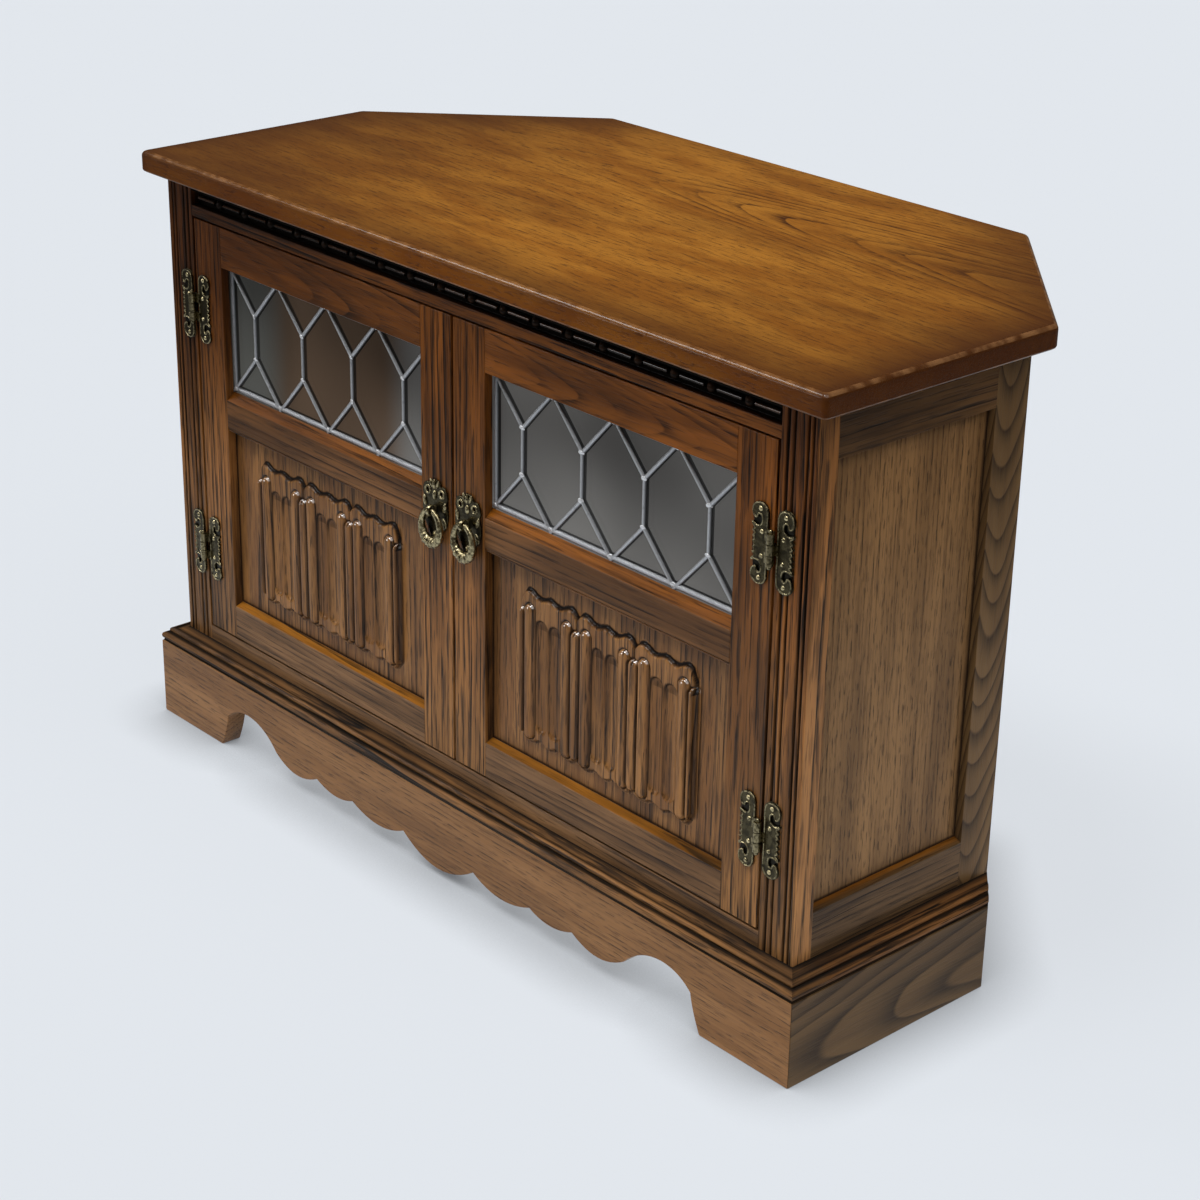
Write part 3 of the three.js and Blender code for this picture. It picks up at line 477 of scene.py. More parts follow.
    def _front_stain(self, graph: Shader, colour: Value, place: Sequence[Value]) -> Value:
        """Paints shade on the upper front and its left corner, paints the pale floor's reflection on the
        lower front, and lightens the posts' outer faces.

        Args:
            graph: The material's tree.
            colour: The colour so far.
            place: The place on the cupboard.

        Returns:
            The colour.
        """
        x, y, z = place
        front = 1.0 - y.smooth(-0.186, -0.183)
        post = x.math("ABSOLUTE").smooth(0.4364, 0.4372) * front * z.smooth(0.098, 0.099)
        colour = graph.tint(colour, Stain.POST_FLANK, post)
        shade = front * (1.0 - post) * self.shade
        # Painted shade on the upper front and on its upper left corner.
        colour = graph.tint(colour, Stain.UPPER_FRONT, shade * z.smooth(0.28, 0.46))
        corner = z.smooth(0.2, 0.52) * (0.0 - x).smooth(0.05, 0.4)
        colour = graph.tint(colour, Stain.UPPER_CORNER, corner * shade)
        # Painted reflection of the pale floor on the lower front.
        return graph.tint(colour, Stain.LOWER_FRONT, shade * (1.0 - z.smooth(0.12, 0.3)))

    def _top_stain(self, graph: Shader, colour: Value, place: Sequence[Value]) -> Value:
        """Darkens the top board at its ends, the left end as painted shade, and burnishes it in a band along
        its edges.

        Args:
            graph: The material's tree.
            colour: The colour so far.
            place: The place on the cupboard.

        Returns:
            The colour.
        """
        x, y, z = place
        plan, aside = TopBoard, x.math("ABSOLUTE")
        side = plan.half_width * MM - aside
        front = y + (FACE_MM + plan.overhang) * MM
        cant = ((plan.cant_sum - FACE_MM) * MM - aside - y) * math.sqrt(0.5)
        inside = side.math("MINIMUM", front).math("MINIMUM", cant)
        waver = graph.noise(graph.place(), scale=9.0, detail=2.0) * 0.05
        depth = z.smooth(0.59, 0.598) * 0.3 + (aside.smooth(0.435, 0.456) * 0.4 + 0.6)
        band = (1.0 - (inside + waver).smooth(0.01, 0.12)) * depth
        colour = graph.mix(colour, self.dark, band * 0.8)
        # Darker towards the ends: painted shade at the left end, a deeper stain at the right end and its
        # edge.
        ends = (0.0 - x).smooth(0.02, 0.42) * 0.6 + x.smooth(0.12, 0.45) * 0.3
        colour = graph.mix(colour, self.dark, ends + x.smooth(0.38, 0.457) * 0.35)
        return graph.tint(colour, Stain.TOP_EDGE, 1.0 - z.smooth(0.592, 0.599))


@dataclass(frozen=True)
class BrassFinish:
    """Antiqued brass: dark olive with grime, near black where hollows are painted with shade, rubbed bright
    on what stands proud.
    """

    name: str = "antique_brass"
    slot: str = "antique_brass"
    bright: Colour = (0.7, 0.6, 0.35)
    dull: Colour = (0.07, 0.058, 0.03)
    black: Colour = (0.014, 0.012, 0.008)
    roughness: float = 0.22

    def build(self) -> Material:
        """Makes the material.

        Returns:
            The material.
        """
        graph = Shader(self.name)
        place = graph.place()
        cast = graph.noise(place, scale=420.0, detail=4.0)
        grime = graph.noise(place, scale=170.0, detail=3.0).smooth(0.38, 0.68)
        colour = graph.mix(self.dull, self.black, grime * 0.75)
        proud = graph.attribute("arris", "Fac") * cast.smooth(0.3, 0.6)
        colour = graph.mix(colour, self.bright, proud)
        # Marked hollows turn near black: painted shade behind the hinge leaves.
        colour = graph.mix(colour, self.black, graph.attribute("hollow", "Fac"))
        return graph.surface(
            {
                "Base Color": colour,
                "Metallic": 1.0,
                "Roughness": grime * 0.22 + self.roughness,
                "Normal": graph.bump(cast, 0.0004, 0.6),
            }
        )


@dataclass(frozen=True)
class LeadFinish:
    """Dull grey lead with brighter solder, darker towards the cames' edges as painted shade."""

    name: str = "lead"
    slot: str = "lead"
    grey: Colour = (0.5, 0.515, 0.54)
    bright: Colour = (0.85, 0.86, 0.88)
    edge: Colour = (0.05, 0.052, 0.056)

    def build(self) -> Material:
        """Makes the material.

        Returns:
            The material.
        """
        graph = Shader(self.name)
        place = graph.place()
        scuffs = graph.noise(place, scale=260.0, detail=4.0)
        colour = graph.mix(self.grey, self.bright, graph.attribute("arris", "Fac") * 0.8)
        colour = graph.mix(colour, (0.12, 0.125, 0.13), scuffs.smooth(0.52, 0.8) * 0.5)
        # Marked hollows darken towards the edge colour: painted shade at the cames' edges.
        colour = graph.mix(colour, self.edge, graph.attribute("hollow", "Fac"))
        return graph.surface(
            {
                "Base Color": colour,
                "Metallic": 0.6,
                "Roughness": scuffs * 0.2 + 0.25,
                "Normal": graph.bump(scuffs, 0.0003, 0.5),
            }
        )


@dataclass(frozen=True)
class GlassFinish:
    """Clear sheet glass, slightly uneven, with a painted reflection that glows, set by the angle of view."""

    name: str = "clear_glass"
    slot: str = "clear_glass"
    ior: float = 1.5
    # Painted reflection: its colour high and low on the pane, and what it is multiplied by across the left
    # pane.
    upper: Colour = (0.042, 0.041, 0.04)
    lower: Colour = (0.14, 0.137, 0.132)
    brown: Colour = (0.6, 0.4, 0.27)
    dusk: Colour = (0.5, 0.52, 0.5)
    tone: Colour = (0.14, 0.137, 0.13)
    sheen_share: float = 8.0

    def build(self) -> Material:
        """Makes the material.

        Returns:
            The material.
        """
        graph = Shader(self.name)
        x, _, z = graph.axes(graph.place())
        left = 0.0 - x
        swell = graph.noise(graph.place(), scale=9.0, detail=0.0)
        reflection_patches = graph.noise(graph.place(), scale=6.0, detail=1.0).smooth(0.3, 0.7)
        mirror = graph.node("ShaderNodeFresnel", {}, {"IOR": self.ior})
        # The glow of a painted reflection: paler low down, in patches, brown across the middle of the left
        # pane, dimmer at its far left, and stronger at grazing angles.
        sheen = graph.mix(self.upper, self.lower, (1.0 - z.smooth(0.37, 0.48)) * 0.6 + reflection_patches * 0.4)
        room = left.smooth(0.07, 0.12) * (1.0 - left.smooth(0.26, 0.31))
        sheen = graph.mix(sheen, self.brown, room, "MULTIPLY")
        sheen = graph.mix(sheen, self.dusk, left.smooth(0.23, 0.3), "MULTIPLY")
        sheen = graph.mix((0.0, 0.0, 0.0), sheen, mirror * self.sheen_share)
        graph.material.surface_render_method = "BLENDED"
        return graph.surface(
            {
                "Base Color": (*self.tone, 1.0),
                "Emission Color": sheen,
                "Emission Strength": 1.0,
                "Metallic": 1.0,
                "Roughness": 0.1,
                "Alpha": mirror * (reflection_patches * 1.3 + 1.7) + 0.01,
                "Normal": graph.bump(swell, 0.0003, 0.4),
            }
        )


@dataclass(frozen=True)
class PlyFinish:
    """Plain or moulded stuff of the inside: a soft mottled colour with a fine grain."""

    name: str
    slot: str
    light: Colour
    dark: Colour
    roughness: float = 0.6

    def build(self) -> Material:
        """Makes the material.

        Returns:
            The material.
        """
        graph = Shader(self.name)
        x, y, z = graph.axes(graph.place())
        streak = graph.noise(graph.vector(x * 380.0, y * 380.0, z * 9.0), detail=3.0)
        cloud = graph.noise(graph.place(), scale=9.0, detail=2.0)
        colour = graph.mix(self.light, self.dark, streak.smooth(0.35, 0.75) * 0.6 + cloud * 0.3)
        return graph.surface(
            {
                "Base Color": colour,
                "Roughness": streak * 0.15 + self.roughness,
                "Normal": graph.bump(streak, 0.00015, 0.5),
            }
        )


@dataclass(frozen=True)
class FloorFinish:
    """The pale studio floor, whose bounce fades with the distance from the cupboard. It glows for the camera
    and for reflections, with a painted contact shadow.
    """

    name: str = "studio_floor"
    pale: Colour = (0.80, 0.84, 0.89)
    far: Colour = (0.16, 0.16, 0.16)
    seen: Colour = (0.735, 0.772, 0.819)
    fade_start: float = 0.85
    fade_end: float = 1.5
    contact: float = 0.07
    cast_share: float = 0.14

    def build(self) -> Material:
        """Makes the material.

        Returns:
            The material.
        """
        graph = Shader(self.name)
        settings = {"operation": "LENGTH"}
        distance = graph.node("ShaderNodeVectorMath", settings, {0: graph.place()}, "Value")
        bounce = graph.mix(self.pale, self.far, distance.smooth(self.fade_start, self.fade_end))
        # The camera sees the floor glowing, darkened near the cupboard by an AO node: a painted contact
        # shadow, mixed with a little lit floor.
        inputs = {"Distance": self.contact, "Color": (*self.seen, 1.0)}
        near = graph.node("ShaderNodeAmbientOcclusion", {"samples": 8}, inputs)
        glow = graph.node("ShaderNodeEmission", {}, {"Color": near})
        lit = graph.node("ShaderNodeBsdfDiffuse", {}, {"Color": (*self.pale, 1.0)})
        seen = graph.node("ShaderNodeMixShader", {}, {0: self.cast_share, 1: glow, 2: lit})
        # Other rays see the bounce colour: lit for diffuse rays, glowing for reflections.
        lights = graph.node("ShaderNodeBsdfDiffuse", {}, {"Color": bounce})
        image = graph.node("ShaderNodeEmission", {}, {"Color": bounce})
        glossy = graph.node("ShaderNodeLightPath", {}, {}, "Is Glossy Ray")
        other = graph.node("ShaderNodeMixShader", {}, {0: glossy, 1: lights, 2: image})
        direct = graph.node("ShaderNodeLightPath", {}, {}, "Is Camera Ray")
        return graph.finish(graph.node("ShaderNodeMixShader", {}, {0: direct, 1: other, 2: seen}))


FIGURED = OakFinish(
    "figured_oak", "plinth_oak",
    light=(0.148, 0.084, 0.032), mid=(0.108, 0.06, 0.023), dark=(0.024, 0.015, 0.009),
    pore=(0.02, 0.013, 0.009), worn=(0.16, 0.085, 0.035), ring_pitch=0.0048,
    figure=1.008, streaks=0.1, pores=0.35, rise=0.1, fall=1.9, steady=0.95, wander=0.022,
)

FINISHES = (
    OakFinish(
        "top_oak", "top_oak",
        light=(0.39, 0.155, 0.017), mid=(0.27, 0.094, 0.008), dark=(0.062, 0.018, 0.003),
        pore=(0.035, 0.012, 0.004), worn=(0.5, 0.25, 0.1),
        ring_pitch=0.0065, wander=0.014, figure=1.47, pores=0.85, streaks=0.2, clouds=0.3, wear=0.3,
        edge_gloss=0.35, dash=75.0, blotch=Lines(9.0, 34.0, 4.0, 0.36, 0.64), roughness=0.36, rim=True,
        rise=0.05, fall=2.6, steady=0.3,
    ),
    OakFinish(
        "body_oak", "body_oak",
        light=(0.39, 0.163, 0.045), mid=(0.19, 0.077, 0.02), dark=(0.018, 0.011, 0.007),
        pore=(0.006, 0.0045, 0.003), worn=(0.4, 0.15, 0.025), warmth=0.7, shade=0.9, clouds=0.45,
        figure=1.47, streaks=1.0, pores=1.0,
    ),
    OakFinish(
        "linenfold_oak", "linenfold_oak",
        light=(0.37, 0.172, 0.053), mid=(0.23, 0.098, 0.027), dark=(0.045, 0.022, 0.009),
        pore=(0.01, 0.006, 0.004), worn=(0.36, 0.15, 0.05), wear=0.1, dash=45.0,
        coat_roughness=0.09, coat_ior=2.1,
    ),
    OakFinish(
        "side_oak", "side_oak",
        light=(0.36, 0.196, 0.078), mid=(0.26, 0.14, 0.055), dark=(0.075, 0.038, 0.017),
        pore=(0.02, 0.011, 0.006), worn=(0.28, 0.12, 0.04), ring_pitch=0.005,
        figure=0.7, streaks=0.4, pores=0.85, dash=75.0, warmth=0.3,
    ),
    OakFinish(
        "plinth_oak", "plinth_oak",
        light=(0.3, 0.148, 0.056), mid=(0.22, 0.103, 0.036), dark=(0.06, 0.03, 0.014),
        pore=(0.016, 0.009, 0.005), worn=(0.28, 0.11, 0.035), ring_pitch=0.0048,
        figure=0.56, streaks=0.25, pores=0.75, dash=55.0,
    ),
    FIGURED,
    replace(
        FIGURED, name="figured_stile_oak", slot="side_oak",
        light=(0.22, 0.125, 0.05), mid=(0.165, 0.092, 0.037), ring_pitch=0.002, wander=0.013, fall=2.6,
    ),
    OakFinish(
        "inside_oak", "inside_oak",
        light=(0.46, 0.28, 0.16), mid=(0.36, 0.21, 0.115), dark=(0.16, 0.09, 0.045),
        pore=(0.08, 0.038, 0.02), worn=(0.45, 0.24, 0.12), coat=0.0, roughness=0.55, streaks=0.3,
    ),
    PlyFinish("back_ply", "back_ply", (0.62, 0.47, 0.32), (0.46, 0.33, 0.21), 0.7),
    PlyFinish("catch_plastic", "catch_plastic", (0.06, 0.035, 0.022), (0.035, 0.02, 0.013), 0.45),
    BrassFinish(),
    LeadFinish(),
    GlassFinish(),
)


# How a board lies in its timber


class Grain(Enum):
    """Which way the grain runs: the row axes along the grain, across the face and through the board."""

    ALONG_X = (0, 2, 1)
    ALONG_Y = (1, 2, 0)
    ALONG_Z = (2, 0, 1)
    ALONG_Z_SIDE = (2, 1, 0)
    FLAT_X = (0, 1, 2)


class Cut(Enum):
    """Where the board sat in its tree.

    Each has how far aside and how deep its rings lie, in metres, how much they lean, how
    close together they are, how busy its grain looks, and how deep the stain sank in.
    """

    STRAIGHT = (0.13, 0.045, 0.012, 1.0, 1.0, 0.0)
    CALM = (0.17, 0.06, 0.014, 1.1, 0.35, 1.0)
    ARCHED = (0.01, 0.03, 0.13, 1.0, 0.3, 0.0)
    BOLD = (0.016, 0.03, -0.15, 0.4, 1.0, 0.0)
    TOP = (-0.09, 0.03, -0.1, 1.0, 1.0, 0.0)


class Bench:
    """Turns meshes into finished pieces of the scene."""

    sill_area = 0.0007
    arris_slot = 1
    known_cuts = (Cut.TOP, Cut.BOLD)

    def __init__(self) -> None:
        """Builds every finish and every repeating tree once."""
        self.slots = {finish.name: finish.slot for finish in FINISHES}
        self.materials = {finish.name: finish.build() for finish in FINISHES}
        self.row, self.scatter, self.bead = Repeater.row(), Repeater.scatter(), Repeater.bead()

    @staticmethod
    def settle(made: Object) -> Mesh:
        """Replaces an object's mesh by what its modifiers make of it.

        Args:
            made: The object with its live modifiers.

        Returns:
            Its new plain mesh.
        """
        bpy.context.view_layer.update()
        graph = bpy.context.evaluated_depsgraph_get()
        mesh = bpy.data.meshes.new_from_object(made.evaluated_get(graph), depsgraph=graph)
        made.modifiers.clear()
        made.data = mesh
        mesh.name = made.name
        return mesh

    def modify(self, made: Object, kind: str, **settings: Any) -> None:
        """Runs one modifier on an object and keeps the result as its mesh.

        Args:
            made: The object.
            kind: The modifier's type.
            settings: Its settings.
        """
        run = made.modifiers.new(kind, kind)
        for key, value in settings.items():
            setattr(run, key, value)
        self.settle(made)

    def soften(self, made: Object, bevel: float) -> None:
        """Rounds the arrises and sets the shading normals.

        Args:
            made: The object.
            bevel: The width of the rounding in millimetres, or 0 for none.
        """
        made.data.polygons.foreach_set("use_smooth", [True] * len(made.data.polygons))
        if bevel:
            self.modify(made, "BEVEL", width=bevel * MM, segments=2, limit_method="ANGLE",
                        angle_limit=SMOOTH_ANGLE, material=self.arris_slot, harden_normals=False)
            slots = np.zeros(len(made.data.polygons), np.int32)
            made.data.polygons.foreach_get("material_index", slots)
            made.data.polygons.foreach_set("material_index", np.zeros_like(slots))
            mark(made.data, "arris", slots == self.arris_slot, "FACE")
            self.mark_sloping(made.data, "sill", self.sill_area)
        made.data.set_sharp_from_angle(angle=SMOOTH_ANGLE)
        self.modify(made, "WEIGHTED_NORMAL", keep_sharp=True, weight=100)

    @staticmethod
    def mark_sloping(mesh: Mesh, label: str, area: float = 0.0, low: float = 0.25) -> None:
        """Marks the faces that slope more than a little, such as sills and chamfers, from an area in m2."""
        slopes = [low < abs(face.normal.z) < 0.97 and face.area > area for face in mesh.polygons]
        mark(mesh, label, slopes, "FACE")

    def lay_grain(self, made: Object, grain: Grain, cut: Cut) -> None:
        """Writes each point's place in its timber, which the oak finishes read.

        Args:
            made: The piece, whose name sets its place in the timber.
            grain: Which way the grain runs.
            cut: Where the board sat in its tree.
        """
        draw = random.Random(zlib.crc32(made.name.encode()))
        points = np.empty(len(made.data.vertices) * 3, np.float32)
        made.data.vertices.foreach_get("co", points)
        local = points.reshape(-1, 3)[:, grain.value]
        local = local - (local.min(0) + local.max(0)) / 2
        aside, deep, slope, scale, busy, stain = cut.value
        known = cut in self.known_cuts
        lean = local[:, 0] * slope * (1 if known else draw.choice((-1, 1)))
        local[:, 0] += draw.uniform(1, 9)
        local[:, 1] += aside * (1 if known else draw.choice((-1, 1)) * draw.uniform(0.7, 1.3))
        local[:, 2] += deep * draw.uniform(0.7, 1.3)
        rings = np.stack([local[:, 1], local[:, 2], lean], 1) * scale
        for label, values in (("busy", busy), ("stain", stain), ("board", local), ("rings", rings)):
            mark(made.data, label, values)

    def coat(self, made: Object, finish: str) -> None:
        """Gives an object its finish.

        Args:
            made: The object.
            finish: The name of its finish.
        """
        made.data.materials.clear()
        made.data.materials.append(self.materials[finish])
        log.info("%s: %d faces, finish %s", made.name, len(made.data.polygons), finish)

    def publish(self, made: Object, finish: str, body: str, nodes: Sequence[str] = ()) -> None:
        """Gives a piece its finish and its place among the bodies.

        Args:
            made: The piece, at the origin.
            finish: The name of its finish.
            body: The CAD body that it moves with.
            nodes: The CAD nodes that it stands for.
        """
        self.coat(made, finish)
        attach(made, body)
        if nodes:
            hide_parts(*nodes)
        self.slots[finish]

    def piece(self, name: str, mesh: Mesh, body: str, finish: str, nodes: Sequence[str] = (),
              timber: tuple[Grain, Cut] | None = None, bevel: float = 0.0, side: Side = Side.RIGHT) -> None:
        """Finishes a piece.

        Args:
            name: Its name.
            mesh: Its shape, as it is on the right side.
            body: The body it moves with.
            finish: The name of its finish.
            nodes: The CAD nodes it stands for.
            timber: If it is of wood, which way its grain runs and where it sat in its tree.
            bevel: The rounding of its arrises, in millimetres.
            side: Its side.
        """
        made = put(name, Shaper.mirrored(mesh, side))
        self.soften(made, bevel)
        if timber:
            self.lay_grain(made, *timber)
        self.publish(made, finish, body, nodes)

    def board(self, node: str, body: str, finish: str, grain: Grain, cut: Cut, bevel: float = 0.6) -> None:
        """Finishes a CAD board: rounded arrises, in millimetres, grain and stain."""
        self.piece(f"{node}_board", Shaper.merged(node), body, finish, [node], (grain, cut), bevel)

    def repeat(self, name: str, tree: NodeTree, points: Sequence[Vector], finish: str,
               part: Mesh | None = None, **sizes: Any) -> Mesh:
        """Runs a Geometry Nodes tree and keeps its result as a plain mesh.

        Args:
            name: The result's name.
            tree: The tree.
            points: The points that the tree may use, joined to a closed line where no part is given.
            finish: The name of the finish.
            part: The small part, about the origin, if the tree repeats one.
            sizes: The tree's further inputs, by name.

        Returns:
            The mesh.
        """
        base = bpy.data.meshes.new(name)
        edges = [] if part else [(i, (i + 1) % len(points)) for i in range(len(points))]
        base.from_pydata([tuple(p) for p in points], edges, [])
        holder = put(name, base)
        run = holder.modifiers.new("repeat", "NODES")
        run.node_group = tree
        values, spares = {"Finish": self.materials[finish], **sizes}, [holder]
        if part:
            values["Part"] = put(f"{name}_part", part)
            spares.append(values["Part"])
        for socket in tree.interface.items_tree:
            if socket.in_out == "INPUT" and socket.name in values:
                run[socket.identifier] = values[socket.name]
        mesh = self.settle(holder)
        for spare in spares:
            bpy.data.objects.remove(spare)
        return mesh


# Shaping


class Shaper:
    """Builds meshes from sections, outlines and turned profiles."""

    @staticmethod
    def baked(work: bmesh.types.BMesh) -> Mesh:
        """A new mesh from a work mesh, which is freed.

        Args:
            work: The work mesh.

        Returns:
            The mesh.
        """
        mesh = bpy.data.meshes.new("shape")
        work.to_mesh(mesh)
        work.free()
        return mesh

    @classmethod
    def merged(cls, node: str) -> Mesh:
        """A copy of a CAD node's mesh with its triangles joined into whole faces.

        Args:
            node: The CAD node.

        Returns:
            The copy.
        """
        work = bmesh.new()
        work.from_mesh(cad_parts[node].data)
        bmesh.ops.remove_doubles(work, verts=work.verts, dist=SAME_POINT)
        bmesh.ops.dissolve_limit(work, angle_limit=FLAT_ANGLE, verts=work.verts, edges=work.edges)
        return cls.baked(work)

    @classmethod
    def mesh(cls, points: Iterable[Sequence[float]], faces: Iterable[Sequence[int]],
             marks: dict[str, Any] | None = None, weld: bool = True) -> Mesh:
        """A mesh of points and faces, with all its faces turned outwards.

        Args:
            points: The points, in metres.
            faces: The faces, as lists of point numbers.
            marks: What is written to each point, by the attribute's name.
            weld: Whether points in one place are joined.

        Returns:
            The mesh.
        """
        raw = bpy.data.meshes.new("shape")
        raw.from_pydata([tuple(p) for p in points], [], [list(f) for f in faces])
        for label, values in (marks or {}).items():
            mark(raw, label, values)
        work = bmesh.new()
        work.from_mesh(raw)
        bpy.data.meshes.remove(raw)
        if weld:
            bmesh.ops.remove_doubles(work, verts=work.verts, dist=SAME_POINT)
        bmesh.ops.recalc_face_normals(work, faces=work.faces)
        return cls.baked(work)

    @classmethod
    def loft(cls, rings: Sequence[Sequence[Vector]], around: bool = False,
             hollow: Sequence[float] = ()) -> Mesh:
        """A skin through rings of points.

        Args:
            rings: The rings, all with one number of points.
            around: Whether the last ring meets the first; if not, both ends are closed.
            hollow: How dark each point is painted, ring by ring, if it is given: pooled stain and painted
                shade.

        Returns:
            The mesh.
        """
        count, whole = len(rings[0]), [p for ring in rings for p in ring]
        faces: list[list[int]] = []
        for i in range(len(rings) - (0 if around else 1)):
            a, b = i * count, ((i + 1) % len(rings)) * count
            for j in range(count):
                k = (j + 1) % count
                faces.append([a + j, a + k, b + k, b + j])
        if not around:
            faces.append(list(range(count)))
            faces.append([len(whole) - 1 - i for i in range(count)])
        return cls.mesh(whole, faces, {"hollow": hollow} if hollow else None)

    @classmethod
    def panel(cls, opening: tuple[Point, Point], tongue: float, thickness: float,
              to_row: Callable[[float, float, float], Vector]) -> Mesh:
        """A framed panel, painted darker towards the frame: pooled stain and painted shade.

        Args:
            opening: The low and high corner of what the frame leaves open.
            tongue: How far the panel runs into the frame.
            thickness: Its thickness.
            to_row: Takes a place on the panel and a depth behind its face to the row frame.

        Returns:
            The mesh.
        """
        # Each step: how far in, how deep, and how dark; the darkening near the frame is pooled stain and
        # painted shade.
        steps = ((24.0, thickness, 0.0), (6.0, thickness, 0.1), (-tongue, thickness, 0.4),
                 (-tongue, 0.0, 1.0), (0.0, 0.0, 0.95), (1.3, 0.0, 0.85), (3.0, 0.0, 0.35),
                 (9.0, 0.0, 0.16), (24.0, 0.0, 0.04), (48.0, 0.0, 0.0))
        (a0, b0), (a1, b1) = opening
        rings, hollow = [], []
        for inset, depth, stain in steps:
            low, high = (a0 + inset, b0 + inset), (a1 - inset, b1 - inset)
            corners = (low, (high[0], low[1]), high, (low[0], high[1]))
            rings.append([to_row(a, b, depth) for a, b in corners])
            hollow += [stain] * 4
        return cls.loft(rings, hollow=hollow)

    @classmethod
    def turned(cls, profile: Sequence[Point], to_row: Callable[[float, float, float], Vector],
               steps: int = 24, ring: bool = False, hollow: Sequence[float] = ()) -> Mesh:
        """A solid turned about an axis.

        Args:
            profile: Points (radius, height) in millimetres.
            to_row: Takes a point about the axis to the row frame.
            steps: How many steps go round.
            ring: Whether the profile closes on itself round a bore.
            hollow: How dark each point is painted, if it is given: pooled stain and painted shade.

        Returns:
            The mesh.
        """
        angles = [2 * math.pi * i / steps for i in range(steps)]
        rings = [[to_row(r * math.cos(a), r * math.sin(a), h) for a in angles] for r, h in profile]
        return cls.loft(rings, around=ring, hollow=hollow)

    @staticmethod
    def arc(centre: Point, radius: float, start: float, end: float, steps: int) -> list[Point]:
        """Points of an arc, in equal steps between two angles in degrees."""
        angles = [math.radians(start + (end - start) * i / steps) for i in range(steps + 1)]
        return [(centre[0] + radius * math.cos(a), centre[1] + radius * math.sin(a)) for a in angles]

    @staticmethod
    def softened(points: Sequence[Point], passes: int = 2) -> list[Point]:
        """A closed outline with its corners cut, pass by pass.

        Args:
            points: The outline.
            passes: How often the corners are cut.

        Returns:
            The smoother outline.
        """
        line = [np.array(p, float) for p in points]
        for _ in range(passes):
            cut: list[np.ndarray] = []
            for i, here in enumerate(line):
                after = line[(i + 1) % len(line)]
                cut += [here * 0.75 + after * 0.25, here * 0.25 + after * 0.75]
            line = cut
        return [(float(p[0]), float(p[1])) for p in line]

    @staticmethod
    def inset(line: Sequence[Point], reach: float) -> list[Point]:
        """A closed line drawn in towards its own inside.

        Args:
            line: The line.
            reach: How far it is drawn in.

        Returns:
            The inner line.
        """
        spots = np.array(line)
        along = np.roll(spots, -1, 0) - np.roll(spots, 1, 0)
        along /= np.linalg.norm(along, axis=1)[:, None] + SAME_POINT
        turn = np.stack([-along[:, 1], along[:, 0]], 1)
        after = np.roll(spots, -1, 0)
        area = np.sum(spots[:, 0] * after[:, 1] - after[:, 0] * spots[:, 1])
        inner = spots + turn * reach * np.sign(area)
        return [(float(x), float(z)) for x, z in inner]

    @staticmethod
    def plate(outlines: Sequence[Sequence[Point]], depth: Point, edge: float) -> Mesh:
        """A flat plate that stands on the face, with holes and rounded edges.

        Args:
            outlines: The outline and the holes, points (x, z) in millimetres.
            depth: The front and back, millimetres behind the face.
            edge: The rounding of its edges, in millimetres.

        Returns:
            The mesh.
        """
        curve = bpy.data.curves.new("outline", "CURVE")
        curve.dimensions = "2D"
        curve.fill_mode = "BOTH"
        half = (depth[1] - depth[0]) / 2
        curve.extrude = (half - edge) * MM
        curve.bevel_depth = edge * MM
        curve.bevel_resolution = 2
        curve.offset = -edge * MM
        for outline in outlines:
            spline = curve.splines.new("POLY")
            spline.points.add(len(outline) - 1)
            spline.use_cyclic_u = True
            for point, (x, z) in zip(spline.points, outline):
                point.co = (x * MM, z * MM, 0, 1)
        holder = put("outline", curve)
        bpy.context.view_layer.update()
        graph = bpy.context.evaluated_depsgraph_get()
        mesh = bpy.data.meshes.new_from_object(holder.evaluated_get(graph))
        bpy.data.objects.remove(holder)
        stand = Matrix(((1, 0, 0, 0), (0, 0, -1, 0), (0, 1, 0, 0), (0, 0, 0, 1)))
        middle = Matrix.Translation(row_point(0, (depth[0] + depth[1]) / 2, 0))
        mesh.transform(middle @ stand)
        return mesh

    @classmethod
    def joined(cls, meshes: Sequence[Mesh]) -> Mesh:
        """Several meshes as one.

        Args:
            meshes: The parts.

        Returns:
            The mesh.
        """
        work = bmesh.new()
        for part in meshes:
            work.from_mesh(part)
        return cls.baked(work)

    @staticmethod
    def mirrored(mesh: Mesh, side: Side) -> Mesh:
        """The mesh itself on the right side, and its mirror image on the left.

        Args:
            mesh: The mesh.
            side: The side.

        Returns:
            The mesh.
        """
        if side is Side.LEFT:
            mesh.transform(Matrix.Scale(-1, 4, (1, 0, 0)))
            mesh.flip_normals()
        return mesh

    @classmethod
    def ball(cls, centre: Vector, radii: Vector, turn: float = 0.0) -> Mesh:
        """A ball or an egg.

        Args:
            centre: Its centre in the row frame.
            radii: Its radii in metres.
            turn: Its turn about Y, in radians.

        Returns:
            The mesh.
        """
        work = bmesh.new()
        bmesh.ops.create_uvsphere(work, u_segments=16, v_segments=10, radius=1.0)
        spin = Matrix.Rotation(turn, 4, "Y")
        egg = Matrix.Translation(centre) @ spin @ Matrix.Diagonal((*radii, 1))
        bmesh.ops.transform(work, verts=work.verts, matrix=egg)
        return cls.baked(work)


